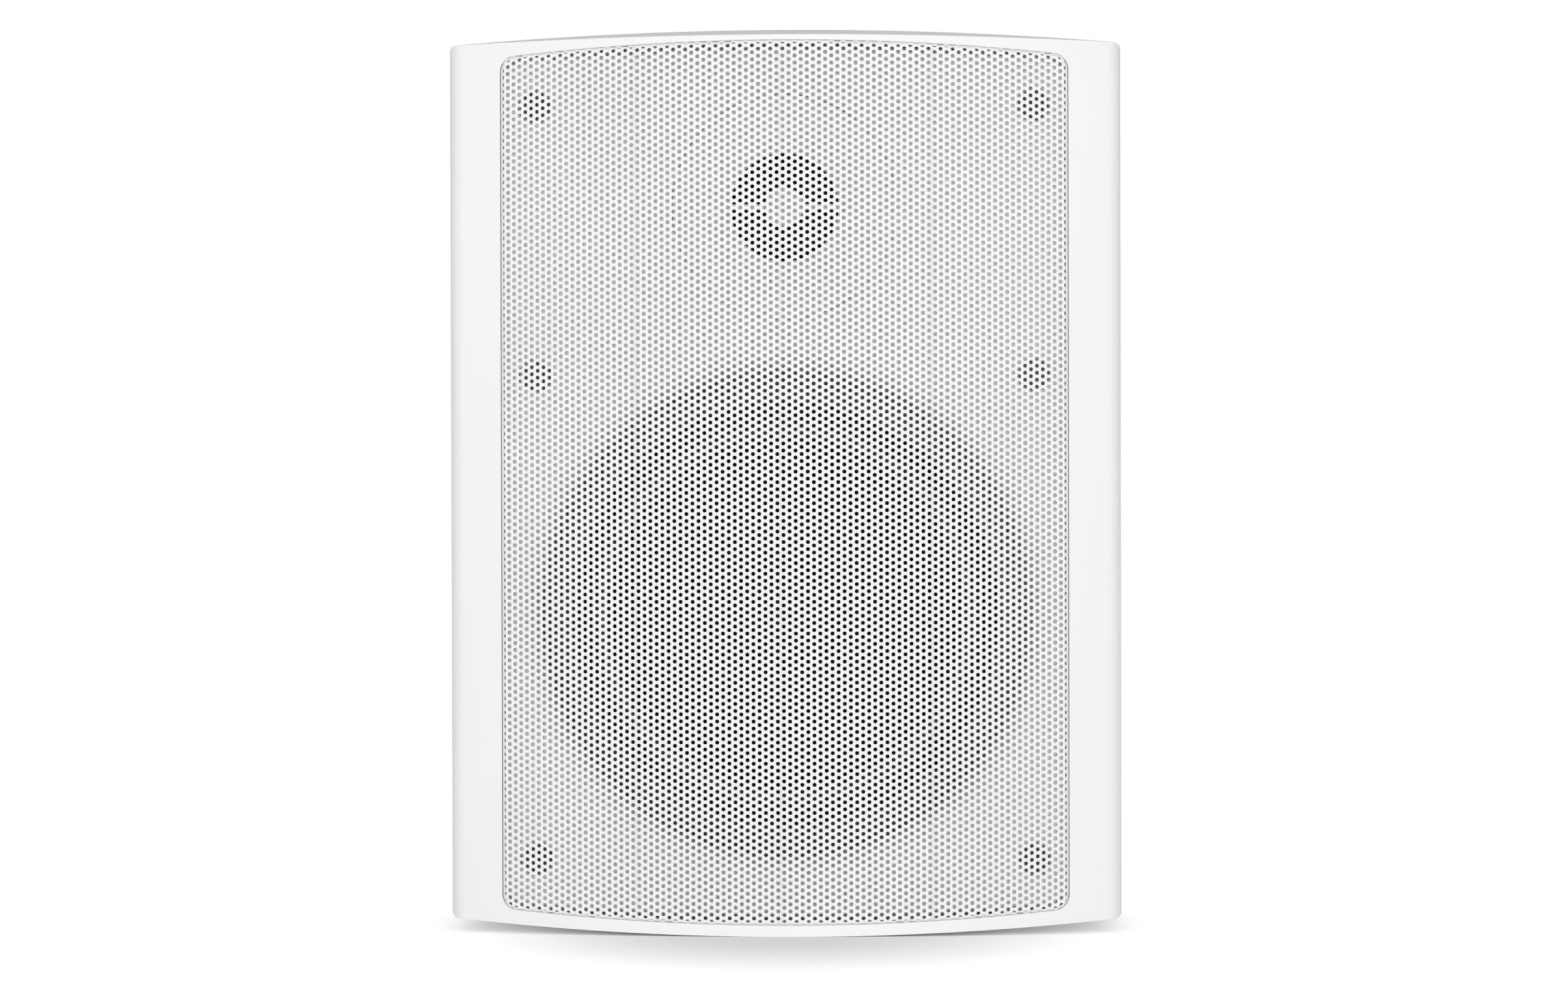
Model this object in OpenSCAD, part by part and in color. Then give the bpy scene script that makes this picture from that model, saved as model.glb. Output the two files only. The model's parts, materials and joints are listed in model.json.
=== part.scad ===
// Two-way installation speaker with a bowed perforated grille.
// Millimetres. X runs across the front, Y from the front to the back and Z up.
// The origin is under the middle of the cabinet.

/* [Cabinet] */
// Width across the front
cab_w = 174; // [170:1:190]
// Height on the centre line
cab_h = 233; // [230:1:270]
// Depth from the middle of the grille to the back
cab_d = 146; // [138:1:180]
// Thickness of the moulded walls
wall_t = 3; // [2.4:0.1:3.4]
// Radius of the bowed front, seen from above
front_r = 325; // [290:5:600]
// Radius of the bowed top and bottom, seen from the front
crown_r = 1060; // [800:10:2000]
// Rounding of the four corners, seen from the front
corner_r = 2; // [1:0.5:4]
// Rounding of the front's upright edges
front_edge_r = 5; // [4:0.5:7]
// Rounding of the back's upright edges
back_edge_r = 16; // [10:1:20]
// Rounding of the back's top and bottom edges
back_end_r = 10; // [6:1:14]
// How far behind the front the bowed sides are widest
rim_d = 22; // [20:1:34]
// Width of the flat part of the back
back_w = 90; // [88:1:104]
// How far the brow over the grille lies under the crown
brow_drop = 2.2; // [0.5:0.1:3]
// Slope of the brow in degrees
brow_slope = 12; // [8:1:20]
// Radius of the brow's bow, seen from the front
brow_r = 1000; // [800:10:1600]

/* [Grille] */
// Width of the bezel beside the grille
bezel_w = 13.75; // [12.6:0.05:14.5]
// Height of the bezel over the grille, on the centre line
bezel_top = 3.5; // [3.2:0.1:5]
// Height of the bezel under the grille, on the centre line
bezel_bottom = 2.9; // [2.8:0.1:5]
// Radius of the grille's bowed ends, seen from the front
grille_end_r = 780; // [700:10:1060]
// Rounding of the grille's corners, seen from the front
grille_corner_r = 4; // [3:0.5:8]
// How far the grille stands in front of the bezel
grille_proud = 0.5; // [0.2:0.1:1.2]
// Gap round the grille
grille_gap = 0.1; // [0.1:0.05:0.3]
// Thickness of the steel sheet
sheet_t = 0.8; // [0.7:0.1:1.2]
// Outer radius of the bend at the grille's sides
bend_r = 5.5; // [3.5:0.5:7]
// Distance between neighbouring holes
hole_pitch = 7.2; // [6:0.4:12]
// Diameter of the holes
hole_d = 4; // [2:0.2:4.4]
// Plain border between the outermost holes and the edge
hole_border = 2.6; // [2:0.2:6]

/* [Baffle] */
// Thickness of the baffle
baffle_t = 3.2; // [2.6:0.1:4]
// Gap between the baffle's edge and the grille's folded edge
baffle_gap = 0.5; // [0.2:0.05:0.6]
// Thickness of the gasket behind the baffle
seal_t = 1.2; // [0.8:0.1:2]
// Width of the ledge that the baffle seats on
ledge_w = 6.5; // [5:0.1:8]
// Thickness of the ledge
ledge_t = 3; // [2.4:0.1:4]
// Thickness of the wall round the baffle's pocket
pocket_wall = 2.5; // [2:0.1:2.7]
// Distance of the screws from the baffle's sides
screw_inset = 7.4; // [7:0.1:9]
// Distance of the outer screws from the baffle's ends
screw_rise = 14.5; // [13:0.5:18]
// Height of the middle screws, as a share of the cabinet's height
mid_screw_share = 0.618; // [0.614:0.001:0.64]
// Diameter of the round recesses for the screw heads
recess_d = 9; // [8.4:0.1:9.6]
// Depth of the recesses
recess_d_in = 2.2; // [1.5:0.1:2.4]
// Radius of the screw posts
post_r = 5; // [4.8:0.1:5.6]
// Length of the cabinet's screw posts
post_len = 16; // [13:1:24]
// Radius of the screw shanks
shank_r = 1.9; // [1.6:0.1:2]
// Radius of the screw heads
head_r = 3.9; // [3.4:0.1:4]

/* [Woofer] */
// Height of the woofer's axis, as a share of the cabinet's height
woofer_share = 0.352; // [0.346:0.001:0.356]
// Diameter of the opening
woofer_open_d = 126.5; // [124:0.5:127.5]
// Radius of the lip rolled into the opening
lip_r = 6; // [4:0.5:6.2]
// Thickness of the well's wall
well_wall = 2.5; // [2:0.1:2.8]
// Depth of the well, from the baffle's face to the shelf
well_d = 8; // [7:0.5:11]
// Thickness of the shelf that carries the woofer
shelf_t = 3; // [2.5:0.1:4]
// Radius of the hole in the shelf
shelf_hole_r = 52; // [51.6:0.1:52.6]
// Gap between the basket's rim and the well
basket_gap = 0.4; // [0.3:0.05:0.8]
// Thickness of the basket's rim
rim_t = 2; // [1.5:0.1:2.4]
// Thickness of the basket's pressed steel
basket_t = 1.5; // [1.2:0.1:1.8]
// Depth from the shelf to the spider's landing
landing_d = 24; // [22:0.5:28]
// Depth from the shelf to the basket's bottom
basket_d = 33.5; // [33:0.5:38]
// Number of windows in the basket
window_count = 6; // [4:1:8]
// Outer radius of the paper cone
cone_r = 44; // [42:0.5:45]
// Thickness of the cone
cone_t = 0.8; // [0.5:0.1:1.2]
// Outer radius of the surround's roll
roll_r = 51.5; // [50.5:0.1:52]
// Thickness of the surround
roll_t = 0.8; // [0.5:0.1:1]
// Radius of the dust cap
cap_r = 15.5; // [15:0.5:18]
// Radius of the dust cap's dome
cap_dome_r = 20; // [19:0.5:30]
// Inner radius of the voice coil's former
former_r = 12.65; // [12.6:0.05:12.8]
// Thickness of the former
former_t = 0.3; // [0.2:0.05:0.35]
// Thickness of the voice coil's winding
winding_t = 0.65; // [0.5:0.05:0.7]
// Length of the voice coil's winding
winding_len = 11; // [9:0.5:12]
// Gap on each side of the voice coil
coil_gap = 0.35; // [0.3:0.05:0.5]
// Thickness of the top plate
plate_t = 5; // [4:0.5:6]
// Radius of the top plate and the yoke's plate
plate_r = 36; // [35:0.5:38]
// Outer radius of the magnet
magnet_r = 40; // [38.5:0.5:41]
// Thickness of the magnet
magnet_t = 14; // [12:0.5:18]
// Radius of the circle that the woofer's screws lie on
woofer_screw_r = 58.7; // [58.5:0.1:59]

/* [Tweeter] */
// Distance of the tweeter's axis from the top of the cabinet
tweeter_drop = 45.5; // [44:0.5:46]
// Radius of the faceplate
face_r = 29; // [28.6:0.1:29.5]
// Thickness of the faceplate
face_t = 2.5; // [2.2:0.1:2.8]
// Radius of the throat
throat_r = 14; // [13.6:0.1:14.4]
// Radius of the phase disc
disc_r = 5; // [4:0.5:6]
// Width of the bar that carries the phase disc
bar_w = 1.5; // [1.2:0.1:2.4]
// Thickness of the phase disc and its bar
disc_t = 1.2; // [0.8:0.1:1.4]
// Radius of the dome
dome_r = 10.1; // [9.8:0.1:10.2]
// Radius of the tweeter's plate, magnet and yoke
motor_r = 22.5; // [21:0.5:23]
// Thickness of the tweeter's magnet
motor_t = 8; // [6:0.5:12]

/* [Back] */
// Width of the terminal panel
panel_w = 78; // [76:1:80]
// Height of the terminal panel
panel_h = 92; // [90:1:96]
// Height of the panel's centre
panel_z = 78; // [74:1:84]
// Thickness of the panel
panel_t = 3; // [2.5:0.1:3.5]
// Depth of the well round the knob
knob_well_d = 12; // [11:0.5:14]
// Depth of the well round the terminals
lever_well_d = 14; // [13.5:0.5:16]
// Radius of the knob
knob_r = 12; // [10:0.5:13]
// Height of the knob
knob_h = 9; // [7:0.5:10]
// Length of the terminal levers
lever_len = 12; // [10:0.5:13]
// Length of the posts that carry the crossover board
stand_len = 20; // [19:0.5:24]
// Height of the lower threaded insert in the back
insert_low_z = 140; // [138:1:145]
// Distance between the two threaded inserts in the back
insert_pitch = 70; // [60:1:75]
// Distance of the top and bottom inserts behind the cabinet's middle
insert_y = 5; // [0:0.5:8]
// Outer radius of the threaded inserts
insert_r = 4.4; // [4:0.1:5]
// Radius of the thread's core
insert_core_r = 2.5; // [2:0.1:2.6]
// Length of the threaded inserts
insert_len = 10; // [8:0.5:14]

/* [Hidden] */
$fa = 2;
$fs = 0.5;
// Finest angle step on the long bowed edges
bow_fa = 0.4;
// Overlap that lets a cut run past a face
past = 0.5;
// How far a rounded corner stands proud, so that its circle crosses both edges
blend = 0.004;
// How much wider than the plan a face's outline is drawn, so that only one of them sets the width
face_over = 0.05;

// Places along the depth
front_y = -cab_d / 2;
back_y = cab_d / 2;
bow_y = front_y + front_r;
bezel_r = front_r - grille_proud;
side_y = front_y + rim_d;

// Front opening and the grille in it
opening_half_w = cab_w / 2 - bezel_w;
opening_top = cab_h - bezel_top;
grille_half_w = opening_half_w - grille_gap;
bend_y = bow_y - sqrt(pow(front_r - bend_r, 2) - pow(grille_half_w - bend_r, 2));

// Baffle: its face lies level with the centre of the grille's side bend
baffle_y = bend_y;
baffle_inset = grille_gap + sheet_t + baffle_gap;
baffle_half_w = opening_half_w - baffle_inset;
fold_past = 2.2;
fold_end_y = baffle_y + fold_past;
ledge_y = baffle_y + baffle_t + seal_t;
seal_margin = 0.4;
screw_x = baffle_half_w - screw_inset;
mid_screw_z = cab_h * mid_screw_share;
screw_low_z = bezel_bottom + baffle_inset + screw_rise;
screw_high_z = opening_top - baffle_inset - screw_rise;
screw_places = [for (z = [screw_low_z, mid_screw_z, screw_high_z], s = [-1, 1]) [s * screw_x, z]];
pilot_gap = 0.05;
small_shank_r = 1.5;
head_t = 2.2;
screw_len = 15;
hole_play = 0.3;

// Screw posts and ribs of the mouldings
web_t = 2;
web_short = 2;
pilot_end = 1.5;
rib_shares = [0.26, 0.5, 0.74];
rib_d = 5;
rib_t = 2;
stiffener_t = 2;
stiffener_x = 44;
stiffener_d = 5;
crossbar_d = 1.1;

// Woofer, with depths counted from the front of the shelf
woofer_z = cab_h * woofer_share;
woofer_throat_r = woofer_open_d / 2;
well_r = woofer_throat_r + well_wall;
shelf_y = baffle_y + well_d;
gasket_t = 0.8;
rim_back = -gasket_t;
rim_front = rim_back - rim_t;
basket_r = woofer_throat_r - basket_gap;
woofer_boss_r = 3.5;
woofer_boss_len = 7;
woofer_shank_r = 1.4;
woofer_head_r = 3.1;
woofer_head_t = 1.8;
woofer_screw_len = 10;
neck_r = shelf_hole_r - 1.2;
landing_in_r = 31;
landing_out_r = 37;
plate_front = basket_d;
magnet_front = plate_front + plate_t;
yoke_front = magnet_front + magnet_t;
yoke_t = 5;
vent_r = 4;
pole_r = former_r - coil_gap;
former_out_r = former_r + former_t;
winding_r = former_out_r + winding_t;
plate_hole_r = winding_r + coil_gap;
winding_mid = plate_front + plate_t / 2;
former_back = winding_mid + winding_len / 2;
cone_flat = 2.5;
cone_neck_r = former_out_r + 0.05;
cone_depth = 19.8;
cone_curve = 1.25;
cone_steps = 8;
cone_thick = cone_t * 1.2;
cap_t = 0.5;
glue_t = 0.05;
magnet_step = 4;
spider_t = 0.6;
spider_in_r = former_out_r + 0.05;
spider_rolls = 4;
spider_neck = 2;
spider_lap = 1;

// Tweeter, with depths counted from the baffle's face
tweeter_z = cab_h - tweeter_drop;
seat_gap = 0.2;
hub_wall = 1.7;
hub_r = motor_r + hub_wall;
hub_back = face_t + 1.9;
film_t = 0.8;
motor_front = hub_back + film_t;
motor_plate_t = 3;
dome_dome_r = 20;
dome_t = 0.4;
dome_back = motor_front - 0.2;
tweeter_coil_r = dome_r - 0.5;
tweeter_coil_t = 0.25;
tweeter_boss_r = face_r + 3;
tweeter_boss_t = face_t + 2.5;
tweeter_screw_r = (face_r + hub_r + 2 * seat_gap) / 2;
tweeter_shank_r = 1.2;
tweeter_head_t = 1.6;
face_skin = 0.7;
flare = 2.2;
bar_back = 0.2;
roll_play = 0.4;
dome_roll_t = 0.4;
tweeter_winding_len = 2.5;
pole_drop = 0.4;
tweeter_vent_r = 1.5;

// Back panel, with depths counted from the cabinet's back
pad_t = 4;
pad_margin = 6;
panel_boss_r = 4;
panel_screw_len = 11;
panel_hole_past = 1.3;
insert_wall = 3;
insert_boss_len = insert_len + insert_wall;
rebate_d = panel_t + gasket_t;
panel_lap = 7;
cutout_w = panel_w - 2 * panel_lap;
cutout_h = panel_h - 2 * panel_lap;
panel_inner_y = back_y - panel_t;
panel_corner_r = 5;
panel_screw_inset = 4;
panel_screw_x = panel_w / 2 - panel_screw_inset;
panel_screw_z = panel_h / 2 - panel_screw_inset;
panel_head_r = 2.9;
panel_head_t = 1.6;
panel_sink = 1.8;
finger_gap = 5;
shaft_r = 3;
shaft_play = 0.06;
knob_well_r = knob_r + finger_gap;
knob_rise = 17;
knob_z = panel_z + knob_rise;
well_floor = 2;
switch_r = 11;
switch_wall = 2;
knob_gap = 0.3;
knob_top = 2;
skirt_h = 3;
grip_w = 3.6;
grip_short = 0.5;
grip_proud = 0.8;
mark_w = 0.8;
knob_floor_y = back_y - knob_well_d;
lever_floor_y = back_y - lever_well_d;
lever_well_w = 52;
lever_well_h = 30;
lever_drop = 19.5;
lever_well_z = panel_z - lever_drop;

// Terminals and their levers
lever_x = 11.5;
lever_w = 14;
lever_t = 3;
lever_run = 0.3;
block_w = 46;
block_h = 26;
block_floor = 1.5;
block_back_y = back_y - 3.5;
pin_y = block_back_y - 3;
pin_z = lever_well_z + 8;
pin_r = 1.2;
barrel_r = 2;
wire_z = lever_well_z - 8;
wire_r = 1.6;
tag_r = 1.1;
tag_play = 0.1;
pin_len = 2;
pin_play = 0.5;
grooves = 3;
groove_w = 0.8;
groove_step = 2;
leaf_w = 8;
leaf_t = 0.4;
leaf_root = 5;
leaf_tip = 0.6;

// Crossover board on the panel's stands
board_t = 1.6;
board_back_y = panel_inner_y - stand_len;
board_front_y = board_back_y - board_t;
board_w = cutout_w - 1;
board_h = cutout_h - 1;
stand_x = board_w / 2 - 3.5;
stand_z = board_h / 2 - 3.5;
stand_r = 3.5;
board_shank_r = 1.2;
board_head_r = 2.7;
board_head_t = 1.8;
board_screw_len = 9;
board_corner_r = 2;
tag_end = 1.5;
part_margin = 6.5;
coil_r = 14;
coil_h = 15;
coil_rise = 15;
bobbin_r = 4;
flange_t = 1.5;

// Transformer on the floor of the cabinet
plinth_y = 30;
plinth_top = 9;
plinth_half = 26;
plinth_depth = 20;
plinth_hollow = [34, 8];
boss_r = 5;
core_w = 42;
core_h = 35;
core_t = 14;
limb = 7;
ear_x = 30;
core_play = 0.3;
winding_out = 6;
strap_t = 1.2;
strap_w = 12;
strap_head_t = 1.8;

light = "whitesmoke";
dark = [0.13, 0.13, 0.14];
steel = "silver";
black_steel = [0.2, 0.2, 0.21];
brass = [0.8, 0.65, 0.3];

// The point at distance r1 from c1 and r2 from c2, on the left of the way from c1 to c2
function meet(c1, r1, c2, r2) =
    let (d = norm(c2 - c1), u = (c2 - c1) / d, a = (r1 * r1 - r2 * r2 + d * d) / (2 * d))
    c1 + a * u + sqrt(r1 * r1 - a * a) * [-u[1], u[0]];

// The direction from a to b
function way(a, b) = (b - a) / norm(b - a);

// The same point on the left, for s = -1, or on the right
function side(p, s) = [s * p[0], p[1]];

// Sweep an outline drawn in X and Z from y0 back to y1
module across(y0, y1) {
    translate([0, y1, 0])
        rotate([90, 0, 0])
            linear_extrude(y1 - y0)
                children();
}

// Turn a profile of radius and depth about an axis that runs back from a place
module turned(place) {
    translate(place)
        rotate([-90, 0, 0])
            rotate_extrude()
                children();
}

// A rod that runs back from y0 to y1
module rod(x, z, r, y0, y1) {
    translate([x, y1, z])
        rotate([90, 0, 0])
            cylinder(r = r, h = y1 - y0);
}

// A ring's profile, from radius r0 to r1 and depth t0 to t1
module ring(r0, r1, t0, t1) {
    translate([r0, t0])
        square([r1 - r0, t1 - t0]);
}

// A box from its low corner to its high corner
module box(low, high) {
    translate(low)
        cube(high - low);
}

// Rounds corners of an outline. Each corner is [centre, radius, way to one edge, way to the other].
module rounded_off(corners) {
    kept = [for (c = corners) if (c[1] > blend) c];
    difference() {
        children();
        for (c = kept)
            polygon([
                c[0], c[0] + 3 * c[1] * c[2],
                c[0] + 3 * c[1] * (c[2] + c[3]), c[0] + 3 * c[1] * c[3]
            ]);
    }
    for (c = kept)
        translate(c[0])
            circle(r = c[1] + blend);
}

// A rounded rectangle
module rounded(w, h, r) {
    rounded_off([
        for (i = [-1, 1], j = [-1, 1])
            [[i * (w / 2 - r), j * (h / 2 - r)], r, [i, 0], [0, j]]
    ])
        square([w, h], center = true);
}

// A face with bowed ends, seen from the front: half width, lowest and highest point, bow and corner radius
module bowed_face(half_w, low, high, bow, corner) {
    rise = sqrt(pow(bow - corner, 2) - pow(half_w - corner, 2));
    centres = [[0, high - bow], [0, low + bow]];
    corners = [[half_w - corner, high - bow + rise], [half_w - corner, low + bow - rise]];
    rounded_off([
        for (i = [0, 1], s = [-1, 1])
            [side(corners[i], s), corner, [s, 0], side(way(centres[i], corners[i]), s)]
    ])
        intersection() {
            translate(centres[0])
                circle(r = bow, $fa = bow_fa);
            translate(centres[1])
                circle(r = bow, $fa = bow_fa);
            translate([-half_w, low - half_w])
                square([2 * half_w, high - low + 2 * half_w]);
        }
}

// The cabinet seen from above, drawn in by inset
module cabinet_plan(inset) {
    back_k = [back_w / 2, back_y - back_edge_r];
    narrow = cab_w / 2 - back_w / 2;
    run = back_k[1] - side_y;
    side_r = (narrow * narrow + run * run - pow(back_edge_r, 2)) / (2 * (narrow - back_edge_r));
    side_c = [cab_w / 2 - side_r, side_y];
    bow_c = [0, bow_y];
    front_k = meet(bow_c, bezel_r - front_edge_r, side_c, side_r - front_edge_r);
    rounded_off([
        for (s = [-1, 1])
            each [
                [
                    side(front_k, s), front_edge_r - inset,
                    side(way(bow_c, front_k), s), side(way(side_c, front_k), s)
                ],
                [side(back_k, s), back_edge_r - inset, side(way(side_c, back_k), s), [0, 1]]
            ]
    ])
        intersection() {
            translate(bow_c)
                circle(r = bezel_r - inset, $fa = bow_fa);
            translate(side_c)
                circle(r = side_r - inset, $fa = bow_fa);
            translate(side(side_c, -1))
                circle(r = side_r - inset, $fa = bow_fa);
            translate([-cab_w, front_y - cab_w])
                square([2 * cab_w, back_y - inset - front_y + cab_w]);
        }
}

// The cabinet as a block, drawn in by inset
module cabinet_block(inset) {
    intersection() {
        translate([0, 0, -past])
            linear_extrude(cab_h + 2 * past)
                cabinet_plan(inset);
        across(front_y - past, back_y + past)
            bowed_face(cab_w / 2 - inset + face_over, inset, cab_h - inset, crown_r - inset, corner_r);
    }
}

// The two long rounded edges at the top and bottom of the back
module back_ends() {
    for (m = [0, 1])
        translate([0, 0, m * cab_h])
            mirror([0, 0, m])
                difference() {
                    box(
                        [-cab_w / 2, back_y - back_end_r, -past],
                        [cab_w / 2, back_y + past, back_end_r]
                    );
                    translate([-cab_w / 2 - past, back_y - back_end_r, back_end_r])
                        rotate([0, 90, 0])
                            cylinder(r = back_end_r + blend, h = cab_w + 2 * past);
                }
}

// All that lies over the sloping brow
module over_brow() {
    translate([0, front_y + grille_proud, cab_h - brow_drop])
        rotate([brow_slope, 0, 0])
            across(-past * 20, 30)
                difference() {
                    translate([-cab_w, -brow_drop * 4])
                        square([2 * cab_w, brow_drop * 8]);
                    translate([0, -brow_r])
                        circle(r = brow_r, $fa = bow_fa);
                }
}

// The opening in the front, drawn in by inset
module opening_face(inset) {
    bowed_face(
        opening_half_w - inset, bezel_bottom + inset, opening_top - inset,
        grille_end_r - inset, grille_corner_r + grille_gap
    );
}

// The way through the ledge
module ledge_hole(more) {
    bowed_face(
        opening_half_w - ledge_w - more, bezel_bottom + ledge_w + more,
        opening_top - ledge_w - more, grille_end_r - ledge_w - more, grille_corner_r
    );
    translate([0, woofer_z])
        circle(r = well_r + baffle_gap + seal_margin - more);
}

// A post with its web to the side wall
module screw_post(x, z) {
    rod(x, z, post_r, ledge_y, ledge_y + post_len);
    s = sign(x);
    box(
        [min(x, s * (cab_w / 2 - wall_t / 2)), ledge_y + ledge_t / 2, z - web_t / 2],
        [max(x, s * (cab_w / 2 - wall_t / 2)), ledge_y + post_len - web_short, z + web_t / 2]
    );
}

// A rib round the inside of the walls, behind the ledge
module wall_rib(z) {
    intersection() {
        translate([0, 0, z])
            linear_extrude(rib_t)
                difference() {
                    cabinet_plan(wall_t / 2);
                    cabinet_plan(wall_t + rib_d);
                }
        box([-cab_w, ledge_y + post_len + 2 * rib_t, 0], [cab_w, back_y - wall_t / 2, cab_h]);
    }
}

// Places of the panel's four screws
panel_screw_places = [for (i = [-1, 1], j = [-1, 1]) [i * panel_screw_x, panel_z + j * panel_screw_z]];

// The hollow plinth under the transformer, with a boss for each screw
module plinth() {
    difference() {
        union() {
            translate([-plinth_half, plinth_y - plinth_depth / 2, wall_t / 2])
                cube([2 * plinth_half, plinth_depth, plinth_top - wall_t / 2]);
            for (s = [-1, 1])
                translate([s * ear_x, plinth_y, wall_t / 2])
                    cylinder(r = boss_r, h = plinth_top - wall_t / 2);
        }
        translate([-plinth_hollow[0] / 2, plinth_y - plinth_hollow[1] / 2, wall_t])
            cube([plinth_hollow[0], plinth_hollow[1], plinth_top]);
        for (s = [-1, 1])
            translate([s * ear_x, plinth_y, wall_t + past])
                cylinder(r = small_shank_r + pilot_gap, h = plinth_top);
    }
}

module cabinet() {
    color(light)
        difference() {
            union() {
                difference() {
                    cabinet_block(0);
                    cabinet_block(wall_t);
                }
                intersection() {
                    cabinet_block(0);
                    across(front_y, ledge_y + ledge_t)
                        opening_face(-pocket_wall);
                }
                for (p = screw_places)
                    screw_post(p[0], p[1]);
                for (share = rib_shares)
                    wall_rib(cab_h * share);
                across(back_y - wall_t - pad_t, back_y - wall_t / 2)
                    translate([0, panel_z])
                        rounded(panel_w + 2 * pad_margin, panel_h + 2 * pad_margin, panel_corner_r);
                for (p = panel_screw_places)
                    rod(
                        p[0], p[1], panel_boss_r,
                        back_y - panel_screw_len + pilot_end - 2 * panel_hole_past,
                        back_y - wall_t - pad_t / 2
                    );
                intersection() {
                    cabinet_block(0);
                    union() {
                        for (z = [insert_low_z, insert_low_z + insert_pitch])
                            rod(0, z, insert_r + insert_wall, back_y - insert_boss_len, back_y - wall_t / 2);
                        for (z = [0, cab_h - insert_boss_len])
                            translate([0, insert_y, z])
                                cylinder(r = insert_r + insert_wall, h = insert_boss_len);
                    }
                }
                plinth();
            }
            over_brow();
            back_ends();
            across(front_y - past, ledge_y)
                opening_face(0);
            across(ledge_y - past, ledge_y + ledge_t + past)
                difference() {
                    ledge_hole(0);
                    for (p = screw_places)
                        translate(p)
                            circle(r = post_r);
                }
            for (p = screw_places)
                rod(p[0], p[1], shank_r + pilot_gap, ledge_y - past, ledge_y + post_len - pilot_end);
            across(back_y - rebate_d, back_y + past)
                translate([0, panel_z])
                    rounded(panel_w + 2 * seat_gap, panel_h + 2 * seat_gap, panel_corner_r);
            across(back_y - wall_t - max(pad_t, rib_d) - past, back_y)
                translate([0, panel_z])
                    rounded(cutout_w, cutout_h, panel_corner_r);
            for (p = panel_screw_places)
                rod(
                    p[0], p[1], small_shank_r + pilot_gap,
                    back_y - panel_screw_len - panel_hole_past, back_y
                );
            for (z = [insert_low_z, insert_low_z + insert_pitch])
                rod(0, z, insert_r + pilot_gap, back_y - insert_len, back_y + past);
            translate([0, insert_y, -past])
                cylinder(r = insert_r + pilot_gap, h = insert_len + past + seat_gap);
            translate([0, insert_y, cab_h - insert_len - seat_gap])
                cylinder(r = insert_r + pilot_gap, h = insert_len + 2 * past);
        }
}

// The grille seen from above: a bowed sheet whose sides turn back, drawn in by inset
module grille_plan(inset) {
    bow_c = [0, bow_y];
    k = [grille_half_w - bend_r, bend_y];
    rounded_off([
        for (s = [-1, 1])
            [side(k, s), bend_r - inset, side(way(bow_c, k), s), [s, 0]]
    ])
        intersection() {
            translate(bow_c)
                circle(r = front_r - inset, $fa = bow_fa);
            translate([inset - grille_half_w, front_y - past])
                square([2 * (grille_half_w - inset), fold_end_y + inset - front_y + past]);
        }
}

// The grille as a solid block, drawn in by inset
module grille_block(inset) {
    intersection() {
        linear_extrude(cab_h)
            grille_plan(inset);
        across(front_y - past, fold_end_y + inset)
            bowed_face(
                grille_half_w - inset + face_over, bezel_bottom + grille_gap + inset,
                opening_top - grille_gap - inset, grille_end_r - inset, grille_corner_r - inset
            );
    }
}

// Columns of holes stand half a step up from their neighbours
column_step = hole_pitch * sqrt(3) / 2;
hole_half_w = grille_half_w - hole_border - hole_d / 2;
grille_mid_z = (bezel_bottom + opening_top) / 2;
grille_half_h = (opening_top - bezel_bottom) / 2 - grille_gap;

// The tallest that a hole's centre may stand from the grille's middle at distance x from the centre line
function hole_top(x) =
    grille_half_h - hole_border - hole_d / 2
    - (grille_end_r - sqrt(pow(grille_end_r, 2) - pow(x, 2)));

module grille() {
    columns = floor(hole_half_w / column_step);
    color(light)
        difference() {
            grille_block(0);
            grille_block(sheet_t);
            across(front_y - past, baffle_y)
                translate([0, grille_mid_z])
                    for (c = [-columns:columns]) {
                        x = c * column_step;
                        start = abs(c) % 2 == 0 ? 0 : 0.5;
                        rows = floor(hole_top(x) / hole_pitch - start);
                        for (r = [-rows - 2 * start:rows])
                            translate([x, (r + start) * hole_pitch])
                                circle(r = hole_d / 2);
                    }
        }
}

// Ribs on the baffle's back that stop short of both drivers
module stiffeners() {
    y0 = baffle_y + baffle_t / 2;
    difference() {
        union() {
            for (s = [-1, 1])
                box(
                    [s * stiffener_x - stiffener_t / 2, y0, woofer_z],
                    [s * stiffener_x + stiffener_t / 2, baffle_y + baffle_t + stiffener_d, screw_high_z]
                );
            for (z = [mid_screw_z, screw_high_z])
                box(
                    [-screw_x, y0, z - stiffener_t / 2],
                    [screw_x, baffle_y + baffle_t + crossbar_d, z + stiffener_t / 2]
                );
        }
        rod(0, woofer_z, woofer_throat_r + lip_r, y0 - past, shelf_y + shelf_t);
        rod(0, tweeter_z, tweeter_boss_r - stiffener_t / 2, y0 - past, shelf_y + shelf_t);
    }
}

// The places round the well where the woofer is screwed on
module at_woofer_screws() {
    for (a = [45:90:315])
        translate([woofer_screw_r * cos(a), shelf_y, woofer_z + woofer_screw_r * sin(a)])
            children();
}

// The places round the tweeter where its motor is screwed to the faceplate
module at_tweeter_screws() {
    for (a = [90, 210, 330])
        translate([tweeter_screw_r * cos(a), baffle_y, tweeter_z + tweeter_screw_r * sin(a)])
            children();
}

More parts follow.
